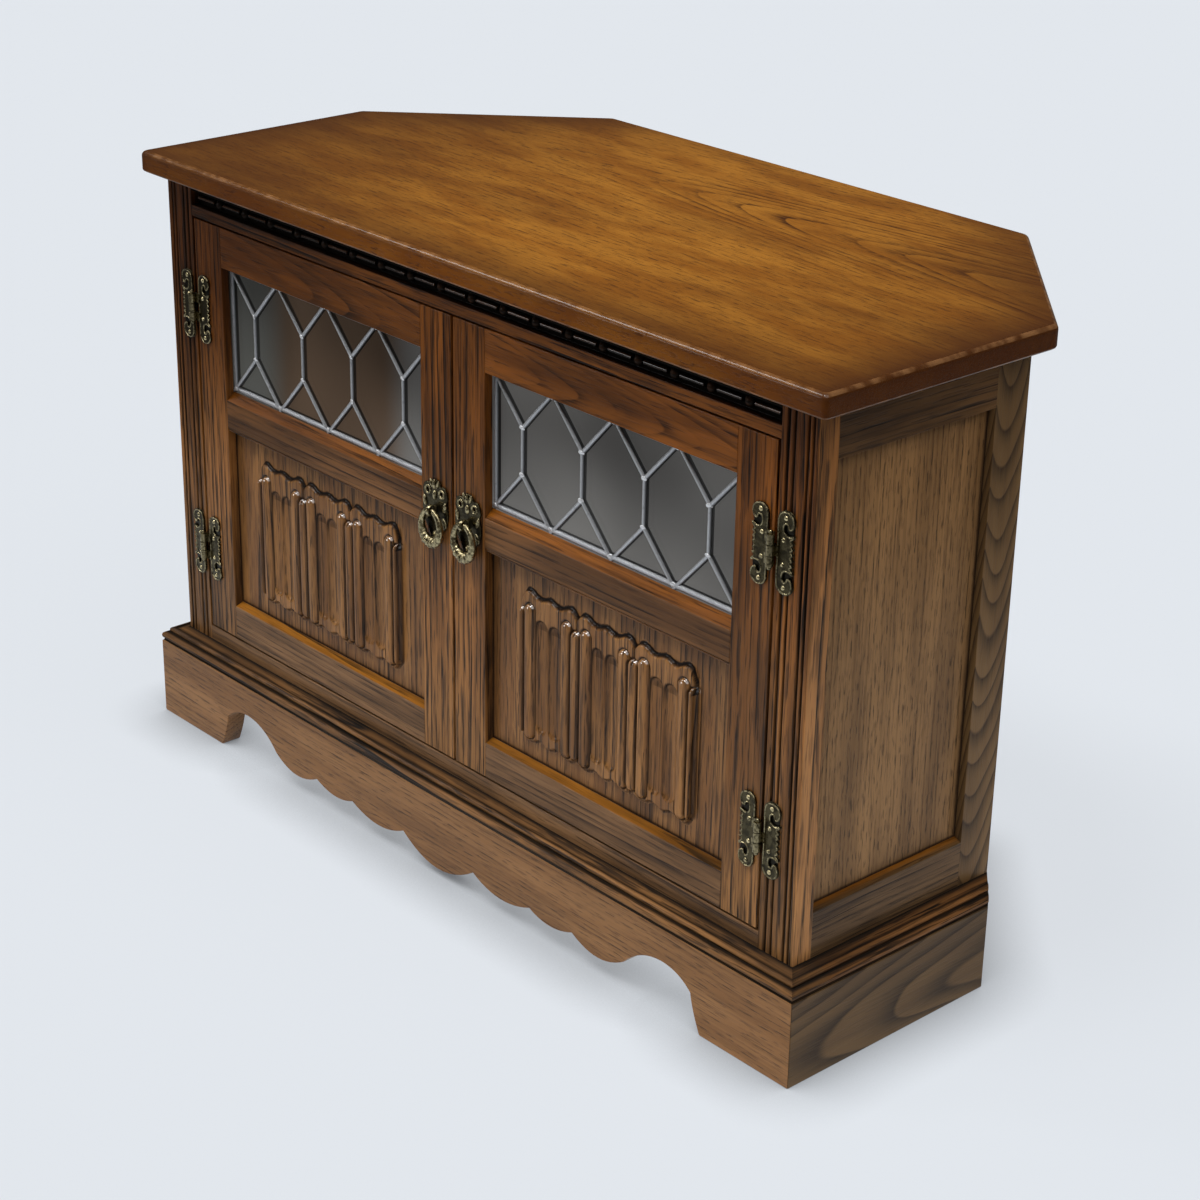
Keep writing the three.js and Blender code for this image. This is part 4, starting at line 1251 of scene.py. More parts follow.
class Repeater(Graph):
    """A Geometry Nodes tree that repeats a small part, or lays a bead along a line."""

    repeating = (("Part", "Object", None), ("Jitter", "Float", 0.0), ("Seed", "Int", 1))

    def __init__(self, name: str, sizes: Sequence[tuple[str, str, Any]]) -> None:
        """Starts a tree with named inputs.

        Args:
            name: The tree's name.
            sizes: The name, kind and value of each input between Geometry and Finish.
        """
        super().__init__(bpy.data.node_groups.new(name, "GeometryNodeTree"))
        self.tree.is_modifier = True
        sockets = self.tree.interface
        sockets.new_socket(name="Geometry", in_out="OUTPUT", socket_type="NodeSocketGeometry")
        for label, kind, value in (("Geometry", "Geometry", None), *sizes, ("Finish", "Material", None)):
            socket = sockets.new_socket(name=label, in_out="INPUT", socket_type=f"NodeSocket{kind}")
            if value is not None:
                socket.default_value = value
        self.inputs = self.tree.nodes.new("NodeGroupInput").outputs

    def given(self, label: str) -> Value:
        """One of the tree's inputs."""
        return Value(self, self.inputs[label])

    def close(self, shape: Value) -> NodeTree:
        """Ends the tree: the shape made real and given its finish.

        Args:
            shape: The shape.

        Returns:
            The tree.
        """
        real = self.node("GeometryNodeRealizeInstances", {}, {0: shape})
        inputs = {"Geometry": real, "Material": self.given("Finish")}
        self.end("NodeGroupOutput", self.node("GeometryNodeSetMaterial", {}, inputs))
        return self.tree

    def on_points(self, points: Value) -> NodeTree:
        """Ends the tree: the part on every point, turned a little.

        Args:
            points: The points.

        Returns:
            The tree.
        """
        part = self.node("GeometryNodeObjectInfo", {}, {"Object": self.given("Part")}, "Geometry")
        inputs = {0: (1, 1, 1), "Scale": self.given("Jitter")}
        most = self.node("ShaderNodeVectorMath", {"operation": "SCALE"}, inputs)
        inputs = {"Min": (0, 0, 0), "Max": most, "Seed": self.given("Seed")}
        turn = self.node("FunctionNodeRandomValue", {"data_type": "FLOAT_VECTOR"}, inputs)
        inputs = {"Points": points, "Instance": part, "Rotation": turn}
        return self.close(self.node("GeometryNodeInstanceOnPoints", {}, inputs))

    @classmethod
    def row(cls) -> NodeTree:
        """The tree of a straight row.

        Returns:
            The tree, with inputs Count, Pitch, Start, Part, Jitter, Seed and Finish.
        """
        sizes = (("Count", "Int", 1), ("Pitch", "Float", 1.0), ("Start", "Vector", None), *cls.repeating)
        made = cls("carved_row", sizes)
        step = made.vector(made.given("Pitch"), 0.0, 0.0)
        inputs = {"Count": made.given("Count"), "Start Location": made.given("Start"), "Offset": step}
        return made.on_points(made.node("GeometryNodeMeshLine", {}, inputs))

    @classmethod
    def scatter(cls) -> NodeTree:
        """The tree of a part on every point of a mesh, with inputs Part, Jitter, Seed and Finish."""
        made = cls("on_points", cls.repeating)
        return made.on_points(made.given("Geometry"))

    @classmethod
    def bead(cls) -> NodeTree:
        """The tree of a round bead that follows a line.

        Returns:
            The tree, with inputs Radius and Finish.
        """
        made = cls("bead_along_line", (("Radius", "Float", 0.001),))
        line = made.node("GeometryNodeMeshToCurve", {}, {0: made.given("Geometry")})
        inputs = {"Resolution": 8, "Radius": made.given("Radius")}
        wire = made.node("GeometryNodeCurvePrimitiveCircle", {}, inputs)
        inputs = {"Curve": line, "Profile Curve": wire}
        return made.close(made.node("GeometryNodeCurveToMesh", {}, inputs))


# Sub-assemblies. Sizes are in millimetres, places in millimetres from the carcass face.


@dataclass
class TopBoard:
    """The board on top, with its rounded edge."""

    half_width: float = 457.0
    overhang: float = 17.0
    back: float = 432.99
    cant_sum: float = 706.0
    underside: float = 579.0
    top: float = 600.0
    rounding: float = 5.0
    chamfer: float = 2.5
    corner: float = 5.0

    def plan(self, inset: float) -> list[Point]:
        """The outline with its rounded corners, drawn in on every side.

        Args:
            inset: How far it is drawn in.

        Returns:
            The points.
        """
        side, front, back = self.half_width - inset, inset - self.overhang, self.back - inset
        total = self.cant_sum - inset * math.sqrt(2)
        right = [(side, front), (side, total - side), (total - back, back)]
        corners = [(-side, front), *right, *((-x, y) for x, y in reversed(right[1:]))]
        outline: list[Point] = []
        for i, here in enumerate(corners):
            before, after = Vector(corners[i - 1]), Vector(corners[(i + 1) % len(corners)])
            spot = Vector(here)
            ways = [(before - spot).normalized(), (after - spot).normalized()]
            reach = max(self.corner - inset * 0.5, 1.0)
            for step in range(6):
                t = step / 5
                bend = spot + ways[0] * reach * (1 - t) ** 2 + ways[1] * reach * t ** 2
                outline.append((bend.x, bend.y))
        return outline

    def build(self, bench: Bench) -> None:
        """Shapes and finishes the board.

        Args:
            bench: The bench.
        """
        levels = [(self.chamfer, self.underside),
                  (self.chamfer * 0.35, self.underside + self.chamfer * 0.4),
                  (0.0, self.underside + self.chamfer)]
        levels += Shaper.arc((self.rounding, self.top - self.rounding), self.rounding, 180, 90, 7)
        rings = [[row_point(x, y, z) for x, y in self.plan(inset)] for inset, z in levels]
        mesh = Shaper.loft(rings)
        # The rounding's upper faces count as arrises: they take more coat and a lighter colour, which is a
        # painted highlight line.
        bench.mark_sloping(mesh, "arris", low=0.5)
        bench.piece("top_board_waxed", mesh, "carcass", "top_oak", ["top_board"], (Grain.FLAT_X, Cut.TOP))


@dataclass
class SideFrames:
    """Posts, stiles, rails and panels of both sides, and the canted boards behind them."""

    post_inside: float = 397.5
    post_outside: float = 437.5
    post_depth: float = 21.0
    post_top: float = 579.0
    reeds: tuple[tuple[float, float, float], ...] = (
        (403.0, 406.2, 2.4), (410.2, 412.6, 2.0), (424.4, 427.0, 2.2), (430.0, 432.2, 1.8),
    )
    # How far beside a reed and how deep its quirk lies.
    quirk: tuple[Point, ...] = ((0.8, 0.0), (0.1, 0.3))
    panel_opening: tuple[Point, Point] = ((21.0, 144.0), (203.0, 535.0))
    panel_face: float = 429.5
    panel_thickness: float = 6.0
    tongue: float = 7.0
    stain_depth: float = 0.9
    darkest: float = 0.96

    def post_plan(self) -> list[Point]:
        """The post's plan with its sunk reeds, rounded between the quirks.

        Returns:
            The points (x, y).
        """
        plan: list[Point] = [(self.post_inside, 0.0)]
        for start, end, depth in self.reeds:
            middle, half = (start + end) / 2, (end - start) / 2 * 0.45
            flank = depth * 0.9
            plan += [(start - beside, deep) for beside, deep in self.quirk]
            plan += [(middle - half, flank), (middle, depth), (middle + half, flank)]
            plan += [(end + beside, deep) for beside, deep in reversed(self.quirk)]
        out = self.post_outside
        plan += [(out - 1.0, 0.0), (out - 0.3, 0.3), (out, 1.0), (out, self.post_depth)]
        return plan + [(self.post_inside, self.post_depth)]

    def build(self, bench: Bench) -> None:
        """Shapes and finishes every piece of both sides.

        Args:
            bench: The bench.
        """
        plan = self.post_plan()
        rings = [[row_point(x, y, z) for x, y in plan] for z in (0.0, self.post_top)]
        edge = self.post_outside - 2
        # The post is darker deeper in its quirks: pooled stain and painted shade.
        stain = [min(y * self.stain_depth, self.darkest) if x < edge else 0.0 for x, y in plan] * 2
        for side in Side:
            post, panel = f"{side}_corner_post", f"{side}_side_panel"
            mesh = Shaper.loft(rings, hollow=stain)
            bench.piece(f"{post}_reeded", mesh, "carcass", "body_oak", [post],
                        (Grain.ALONG_Z, Cut.STRAIGHT), side=side)
            bench.board(f"{side}_rear_stile", "carcass", "figured_stile_oak", Grain.ALONG_Z_SIDE, Cut.BOLD)
            for rail in ("top", "bottom"):
                bench.board(f"{side}_side_{rail}_rail", "carcass", "body_oak", Grain.ALONG_Y, Cut.CALM)
            mesh = Shaper.panel(self.panel_opening, self.tongue, self.panel_thickness,
                                lambda y, z, depth: row_point(self.panel_face - depth, y, z))
            bench.piece(f"{panel}_sunk", mesh, "carcass", "side_oak", [panel],
                        (Grain.ALONG_Z_SIDE, Cut.STRAIGHT), side=side)
            bench.board(f"{side}_cant_board", "carcass", "inside_oak", Grain.ALONG_Z, Cut.ARCHED)
            bench.board(f"{side}_shelf_batten", "carcass", "inside_oak", Grain.ALONG_Y, Cut.STRAIGHT)


@dataclass
class FrontRails:
    """The carved frieze rail above the doors and the rail below them."""

    half_length: float = 397.5
    depth: float = 21.0
    bottom: float = 545.0
    top: float = 579.0
    channel_bottom: float = 556.0
    channel_top: float = 570.0
    channel_depth: float = 8.0
    pitch: float = 42.0
    bars: int = 19
    bar_length: float = 27.0
    bar_height: float = 5.0
    bar_front: float = 3.5
    boss_radius: float = 5.2
    boss_front: float = -2.6
    # The boss's profile: its radius as a share, how far behind its front, and how dark it is, which is black
    # stain and painted shade, darkest at the back.
    boss_dome: tuple[tuple[float, float, float], ...] = (
        (0.0, 0.0, 0.8), (0.35, 0.15, 0.85), (0.62, 0.7, 0.9), (0.86, 1.9, 0.95), (1.0, 3.2, 1.0),
    )
    boss_steps: int = 8
    # The bar's section is dark as black stain and painted shade, with a lighter stripe as a painted
    # highlight.
    bar_stain: tuple[float, ...] = (1.0, 1.0, 0.95, 0.7, 0.3, 0.6, 0.95) + (1.0,) * 6
    sunk: float = 1.0
    lip: float = 1.2
    rail_bevel: float = 0.5

    def _bar(self) -> Mesh:
        """One bar of the carving, about its middle, with a hollow face.

        Returns:
            The mesh.
        """
        half, back = self.bar_length / 2, self.channel_depth + self.sunk
        front, top = self.bar_front, self.bar_height / 2
        section = [*Shaper.arc((front + top, 0.0), top, 90, 270, 10), (back, -top), (back, top)]
        rings = [[Vector((x, y, z)) * MM for y, z in section] for x in (-half, half)]
        return Shaper.loft(rings, hollow=self.bar_stain * 2)

    def _boss(self) -> Mesh:
        """One round boss of the carving, about its middle.

        Returns:
            The mesh.
        """
        radius, back = self.boss_radius, -self.channel_depth - self.sunk
        profile = [(radius * share, self.boss_front - behind) for share, behind, _ in self.boss_dome]
        profile += [(radius, back), (0.0, back)]
        shares = [stain for *_, stain in self.boss_dome] + [1.0, 1.0]
        stain = [share for share in shares for _ in range(self.boss_steps)]
        return Shaper.turned(profile, lambda a, b, h: Vector((a, -h, b)) * MM,
                             self.boss_steps, hollow=stain)

    def build(self, bench: Bench) -> None:
        """Shapes and finishes both rails and the carving.

        Args:
            bench: The bench.
        """
        timber = (Grain.ALONG_X, Cut.STRAIGHT)
        low, high, deep = self.channel_bottom, self.channel_top, self.channel_depth
        section = [(0.0, self.bottom), (0.0, low - self.lip), (0.0, low), (deep, low), (deep, high),
                   (0.0, high), (0.0, self.top), (self.depth, self.top), (self.depth, self.bottom)]
        rings = [[row_point(x, y, z) for y, z in section] for x in (-self.half_length, self.half_length)]
        # The channel is darkened: partly black stain, partly painted shade under the top.
        stain = [0.0, 0.0, 0.7, 1.0, 1.0, 1.0, 1.0, 0.0, 0.0] * 2
        rail = Shaper.loft(rings, hollow=stain)
        bench.piece("frieze_rail_sunk", rail, "carcass", "body_oak", ["frieze_rail"], timber, self.rail_bevel)
        reach = (self.bars - 1) / 2 * self.pitch
        parts = (("frieze_bars", self._bar(), self.bars, -reach, 0.5),
                 ("frieze_bosses", self._boss(), self.bars - 1, self.pitch / 2 - reach, 0.1))
        for name, part, count, start, gloss in parts:
            carved = bench.repeat(name, bench.row, [Vector()], "body_oak", part, Count=count,
                                  Pitch=self.pitch * MM, Start=row_point(start, 0.0, (low + high) / 2),
                                  Jitter=0.0, Seed=7)
            mark(carved, "gloss", gloss)
            bench.piece(name, carved, "carcass", "body_oak", timber=timber)
        bench.board("bottom_rail", "carcass", "body_oak", Grain.ALONG_X, Cut.CALM)


@dataclass
class Plinth:
    """The scalloped front, the side boards and the mitred moulding above them."""

    half_width: float = 437.5
    thickness: float = 21.49
    height: float = 81.0
    moulding: float = 17.0
    side_end: float = 242.0
    foot: float = 105.0
    arch: float = 50.0
    meets: tuple[Point, ...] = ((0.147, 0.51), (0.373, 0.48), (0.537, 0.5), (0.729, 0.54))
    lows: tuple[Point, ...] = ((0.0, 0.14), (0.254, 0.3), (0.452, 0.36), (0.636, 0.31))
    arch_curves: tuple[tuple[Point, Point], ...] = (
        ((0.785, 0.98), (0.862, 1.0)), ((0.925, 1.0), (0.965, 0.72)), ((0.972, 0.42), (1.0, 0.0)),
    )
    curve_steps: int = 12
    bevel: float = 0.9
    # The moulding's two beads: middle and radius as shares of its section, first and last angle.
    beads: tuple[tuple[Point, float, float, float], ...] = (
        ((0.81, 0.32), 0.19, -60, 100), ((0.57, 0.69), 0.145, -45, 110),
    )
    cove: tuple[Point, ...] = (
        (0.46, 0.8), (0.36, 0.81), (0.27, 0.84), (0.19, 0.88), (0.12, 0.93), (0.05, 0.98),
    )
    # Darker in the quirks and the cove: pooled stain and painted shade.
    bead_stain: tuple[float, ...] = (0.9, 0.7, 0.35, 0.1, 0.0, 0.0, 0.0, 0.1, 0.35, 0.75, 0.97)
    cove_stain: tuple[float, ...] = (0.9, 0.35, 0.15, 0.3, 0.6, 0.95)

    def _lower_edge(self) -> list[Point]:
        """The apron's lower edge from the left foot to the right foot.

        Returns:
            The points (x, z).
        """
        span = self.half_width + self.thickness - self.foot
        start = (-self.meets[0][0], self.meets[0][1])
        curves: list[tuple[Point, Point]] = []
        for low, meet in zip(self.lows, self.meets):
            level = (start[1] + meet[1]) / 2 if not curves else (curves[-1][1][1] + meet[1]) / 2
            curves.append(((low[0], 2 * low[1] - level), meet))
        curves += list(self.arch_curves)
        line = [start]
        for control, end in curves:
            begin = line[-1]
            for step in range(1, self.curve_steps + 1):
                t = step / self.curve_steps
                line.append(tuple(begin[i] * (1 - t) ** 2 + control[i] * 2 * t * (1 - t) + end[i] * t * t
                                  for i in (0, 1)))
        right = [(x * span, z * self.arch) for x, z in line]
        left = [(-x, z) for x, z in right[self.curve_steps + 1:]][::-1]
        return left + right

    def _front(self) -> Mesh:
        """The front board, its ends mitred.

        Returns:
            The mesh.
        """
        half = self.half_width + self.thickness
        edge = self._lower_edge()
        outline = [(-half, 0.0), *edge, (half, 0.0), (half, self.height), (-half, self.height)]
        mitre = self.half_width / half
        front = [row_point(x, -self.thickness, z) for x, z in outline]
        back = [row_point(x * mitre if abs(x) > self.half_width else x, 0.0, z) for x, z in outline]
        return Shaper.loft([front, back])

    def _section(self) -> tuple[list[Point], list[float]]:
        """The moulding's section: how far out and how high, and how dark its quirks are.

        Returns:
            The points, and how dark each is: pooled stain and painted shade in the quirks.
        """
        out, low, tall = self.thickness, self.height, self.moulding
        section: list[Point] = [(0.0, low), (out * 0.95, low)]
        for (u, v), radius, start, end in self.beads:
            section += Shaper.arc((u * out, low + v * tall), out * radius, start, end, 10)
        section += [(u * out, low + v * tall) for u, v in self.cove]
        stain = [1.0, 0.95, *self.bead_stain, *self.bead_stain, *self.cove_stain]
        stain = [min(1.0, share * 0.75 + 0.25) for share in stain]
        return section + [(0.0, low + tall)], stain + [1.0]

    def build(self, bench: Bench) -> None:
        """Shapes and finishes the plinth and its moulding.

        Args:
            bench: The bench.
        """
        front, half = self._front(), self.half_width
        section, stain = self._section()
        straight = (Grain.ALONG_X, Cut.STRAIGHT)
        bench.piece("plinth_front_scalloped", front, "carcass", "plinth_oak", ["plinth_front"], straight,
                    self.bevel)
        rings = [[row_point(sign * (half + u), -u, z) for u, z in section] for sign in (-1, 1)]
        run = Shaper.loft(rings, hollow=stain * 2)
        bench.piece("front_base_moulding_run", run, "carcass", "body_oak", ["front_base_moulding"], straight)
        ends = (lambda u: -u, lambda u: self.side_end - u)
        rings = [[row_point(half + u, end(u), z) for u, z in section] for end in ends]
        for side in Side:
            bench.board(f"{side}_plinth_side", "carcass", "figured_oak", Grain.ALONG_Y, Cut.BOLD, self.bevel)
            node = f"{side}_base_moulding"
            bench.piece(f"{node}_run", Shaper.loft(rings, hollow=stain * 2), "carcass",
                        "body_oak", [node], (Grain.ALONG_Y, Cut.STRAIGHT), side=side)


@dataclass
class Inside:
    """Floor, shelf, back and catch."""

    boards: tuple[tuple[str, Grain, Cut], ...] = (
        ("cabinet_floor", Grain.FLAT_X, Cut.ARCHED), ("shelf", Grain.FLAT_X, Cut.ARCHED),
        ("rear_top_rail", Grain.ALONG_X, Cut.STRAIGHT),
    )
    catch_bevel: float = 0.8

    def build(self, bench: Bench) -> None:
        """Finishes the pieces of the inside.

        Args:
            bench: The bench.
        """
        for node, grain, cut in self.boards:
            bench.board(node, "carcass", "inside_oak", grain, cut)
        bench.coat(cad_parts["back_panel"], "back_ply")
        bench.piece("door_catch_block", Shaper.merged("door_catch"), "carcass", "catch_plastic",
                    ["door_catch"], bevel=self.catch_bevel)


@dataclass
class Linenfold:
    """The folded cloth carved on a door panel, as a height above the panel's field."""

    middle_x: float = 198.0
    field_y: float = 9.0
    half_width: float = 110.0
    fold_half: float = 36.6667
    plate: float = 4.4
    crest: float = 3.3
    hollow: float = 3.0
    corner: float = 9.0
    margin: float = 3.5
    column_step: float = 0.55
    edge_ease: float = 2.8
    quirk: float = 1.4
    crease: float = 1.6
    groove: float = 1.7
    soft: float = 1.3
    # Above this height the folds' heads begin.
    heads: float = 294.0
    underside: float = 2.5
    # The rows of the mesh: first and last height, and their step.
    lower_rows: tuple[float, float, float] = (168.0, 194.0, 0.65)
    upper_rows: tuple[float, float, float] = (284.0, 321.0, 0.6)
    middle_rows: int = 14
    top_hem: tuple[Point, ...] = (
        (0.0, 315.6), (3.0, 315.3), (6.0, 314.2), (9.0, 313.1), (13.0, 312.7), (17.0, 313.6),
        (21.0, 315.9), (25.0, 317.4), (29.0, 317.5), (32.5, 315.8), (35.0, 312.6), (36.7, 309.6),
    )
    bottom_hem: tuple[Point, ...] = (
        (0.0, 171.5), (6.0, 173.6), (10.0, 175.6), (14.0, 175.2), (20.0, 172.2), (27.0, 171.0),
        (33.0, 173.0), (36.7, 176.5),
    )
    # Each rib or flute: centre, half width, foot, head, and how high it stands.
    ribs: tuple[tuple[float, float, float, float, float], ...] = (
        (36.6667, 6.1, 177.0, 300.0, 1.0), (24.4, 6.1, 175.0, 305.0, 1.0), (8.8, 8.2, 184.0, 294.0, -1.0),
    )

    def _hem(self, points: Sequence[Point], across: np.ndarray) -> np.ndarray:
        """A hem's height across a fold, with its corners smoothed.

        Args:
            points: The hem from the fold's middle to its edge.
            across: Places across, from the fold's middle.

        Returns:
            The heights.
        """
        places = np.arange(-2 * self.fold_half, 2 * self.fold_half, 0.2)
        folded = np.abs(places)
        folded = np.where(folded > self.fold_half, 2 * self.fold_half - folded, folded)
        heights = np.interp(folded, *zip(*points))
        weights = np.hanning(21)
        return np.interp(across, places, np.convolve(heights, weights / weights.sum(), "same"))

    def _height(self, x: np.ndarray, z: np.ndarray) -> tuple[np.ndarray, np.ndarray, np.ndarray]:
        """The carving's height above the field, how dark each place is painted as shade, and how glossy it
        is.

        Args:
            x: Places across, from the panel's middle.
            z: Places up.

        Returns:
            The heights in millimetres, and the painted shade and the gloss from 0 to 1.
        """
        def shares(values: np.ndarray) -> np.ndarray:
            """The values, kept from 0 to 1."""
            return np.clip(values, 0.0, 1.0)

        fold = (x + self.half_width) % (2 * self.fold_half) - self.fold_half
        across = np.abs(fold)
        top, low = (self._hem(points, across) for points in (self.top_hem, self.bottom_hem))
        ends, sides = np.minimum(top - z, z - low), self.half_width - np.abs(x)
        near = np.clip(self.corner - np.stack([ends, sides]), 0.0, None)
        inside = np.minimum(np.minimum(ends, sides), self.corner - np.hypot(near[0], near[1]))
        ease = shares(inside / self.edge_ease)
        height = self.plate * np.sqrt(1 - (1 - ease) ** 2)
        # Painted shade: a dark outline round the carving, stronger along the folds' heads.
        hollow = shares(1 - np.clip(np.abs(inside + 0.6) - 1.0, 0.0, None) / self.quirk)
        hollow *= 0.5 + 0.5 * (z > self.heads) * (sides > -1.2)
        # The crease between neighbouring folds' heads is sunk and painted with shade.
        crease = shares(1 - np.abs(across - self.fold_half) / self.soft) * (z > self.heads + 2.0)
        height -= self.crease * crease
        hollow = np.maximum(hollow, crease * 0.85)
        gloss = np.zeros_like(height)
        for centre, half, foot, head, rise in self.ribs:
            beside = (across - centre) / half
            beyond = np.maximum(z - (head - half), (foot + half) - z)
            away = np.sqrt(beside ** 2 + np.clip(beyond / half, 0.0, None) ** 2)
            bulge = np.sqrt(shares(1 - away ** 2))
            height += bulge * (self.crest * rise if rise > 0 else self.hollow * rise)
            if rise > 0:
                # The groove beside each rib is sunk and painted with shade.
                groove = shares(1 - np.abs(away * half - half - 0.9) / self.soft)
                height -= groove * self.groove
                hollow = np.maximum(hollow, groove)
                crown = shares(1 - np.abs(z - head + 2.2) / 3.0) * shares(1.2 - np.abs(beside))
                gloss = np.maximum(gloss, shares(crown * 2.0))
            else:
                # Painted shade: dark crescents at the flutes' heads, and the flutes' hollows darker in the
                # upper rows.
                upper = np.clip((z - 268) / 18, 0.22, 1.0)
                dip = shares(1 - np.abs(away - 0.93) / 0.26) * upper * 0.95
                ground = bulge ** 2 * (0.15 + 0.35 * (z > self.upper_rows[0]))
                hollow = np.maximum(hollow, np.maximum(dip, ground))
        # Round the carving the mesh lies as a thin sheet just above the field, carrying the painted dark
        # outline.
        height = np.where(inside <= 0, np.where(inside > -3.1, 0.1, -0.25), height)
        return height, hollow, gloss

    def carve(self) -> Mesh:
        """The carving of the right door as a closed mesh, its painted shade and its gloss marked.

        Returns:
            The mesh.
        """
        reach = self.half_width + self.margin
        columns = np.arange(-reach, reach + self.column_step / 2, self.column_step)
        middle = np.linspace(self.lower_rows[1], self.upper_rows[0], self.middle_rows)[:-1]
        rows = np.concatenate([np.arange(*self.lower_rows), middle, np.arange(*self.upper_rows)])
        across, up = len(columns), len(rows)
        x, z = np.meshgrid(columns, rows)
        height, hollow, gloss = self._height(x, z)
        points = [row_point(self.middle_x + x[j, i], self.field_y - height[j, i], z[j, i])
                  for j in range(up) for i in range(across)]
        faces = [[j * across + i, j * across + i + 1, (j + 1) * across + i + 1, (j + 1) * across + i]
                 for j in range(up - 1) for i in range(across - 1)]
        rim = [*range(across)] + [j * across + across - 1 for j in range(1, up)]
        rim += [(up - 1) * across + i for i in range(across - 2, -1, -1)]
        rim += [j * across for j in range(up - 2, 0, -1)]
        base = len(points)
        points += [points[i] + Vector((0, self.underside * MM, 0)) for i in rim]
        for k, i in enumerate(rim):
            after = (k + 1) % len(rim)
            faces.append([rim[after], i, base + k, base + after])
        faces.append([base + k for k in range(len(rim))])
        marks = {label: np.pad(values.ravel(), (0, len(rim)))
                 for label, values in (("hollow", hollow), ("gloss", gloss))}
        mesh = Shaper.mesh(points, faces, marks, weld=False)
        mesh.polygons.foreach_set("use_smooth", [True] * len(mesh.polygons))
        return mesh


@dataclass
class LeadedLight:
    """The lead net, its solder joints and the pane."""

    left: float = 44.5
    right: float = 351.5
    low: float = 377.5
    high: float = 503.5
    cells: int = 4
    straight_half: float = 21.5
    width: float = 4.2
    rise: float = 1.7
    border: float = 5.6
    front: float = 9.0
    rear: float = 15.4
    joint_radius: float = 3.1
    joint_rise: float = 0.95
    joint_inset: float = 3.0
    # How dark the came is across its face: darker towards its edges as painted shade.
    came_stain: tuple[float, ...] = (1.0, 0.75, 0.15, 0.0, 0.15, 0.75, 1.0)

    def _lines(self) -> list[tuple[Point, Point]]:
        """The net's straight runs, from point to point.

        Returns:
            The runs.
        """
        pitch = (self.right - self.left) / self.cells
        middle = (self.low + self.high) / 2
        top, bottom = middle + self.straight_half, middle - self.straight_half
        runs: list[tuple[Point, Point]] = []
        for cell in range(self.cells):
            x = self.left + (cell + 0.5) * pitch
            runs.append(((x, bottom), (x, top)))
            for side in (-0.5, 0.5):
                runs.append(((x, top), (x + side * pitch, self.high)))
                runs.append(((x, bottom), (x + side * pitch, self.low)))
        return runs

    def _bar(self, run: tuple[Point, Point], width: float, face: float, towards: int) -> Mesh:
        """One run of came with a rounded face.

        Args:
            run: Its two ends.
            width: Its width.
            face: How deep its outer face lies.
            towards: 1 where its flat side lies behind the face, -1 where it lies in front.

        Returns:
            The mesh.
        """
        start, end = Vector(run[0]), Vector(run[1])
        along = (end - start).normalized()
        side = Vector((-along.y, along.x))
        half = width / 2
        section = [(math.cos(a), math.sin(a)) for a in np.linspace(0, math.pi, len(self.came_stain))]
        rings = []
        for spot in (start - along * half * 0.6, end + along * half * 0.6):
            ring = []
            for c, s in section:
                place = spot + side * half * c
                ring.append(row_point(place.x, face + towards * self.rise * (1 - s), place.y))
            rings.append(ring)
        return Shaper.loft(rings, hollow=self.came_stain * 2)

    def build(self, bench: Bench, side: Side) -> None:
        """Shapes and finishes the light of one door.

        Args:
            bench: The bench.
            side: Its side.
        """
        runs = self._lines()
        edge = self.border / 2
        corners = [(self.left + edge, self.low + edge), (self.right - edge, self.low + edge),
                   (self.right - edge, self.high - edge), (self.left + edge, self.high - edge)]
        bars = []
        for face, towards in ((self.front, 1), (self.rear, -1)):
            bars += [self._bar(run, self.width, face, towards) for run in runs]
            bars += [self._bar((corners[i], corners[(i + 1) % 4]), self.border, face, towards)
                     for i in range(4)]
        left, right = self.left + self.joint_inset, self.right - self.joint_inset
        low, high = self.low + self.joint_inset, self.high - self.joint_inset
        points = [row_point(min(max(x, left), right), self.front + 0.5, min(max(z, low), high))
                  for x, z in sorted({spot for run in runs for spot in run})]
        radii = Vector((self.joint_radius, self.joint_rise, self.joint_radius * 0.8)) * MM
        blob = Shaper.ball(Vector(), radii)
        blobs = bench.repeat("solder", bench.scatter, points, "lead", blob, Jitter=0.5, Seed=11)
        mark(blobs, "arris", 1.0, "FACE")
        name = f"{side}_lead_net"
        bench.piece(name, Shaper.joined([*bars, blobs]), f"{side}_door", "lead",
                    [f"{side}_lead_cames"], side=side)
        bench.coat(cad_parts[f"{side}_glass_pane"], "clear_glass")


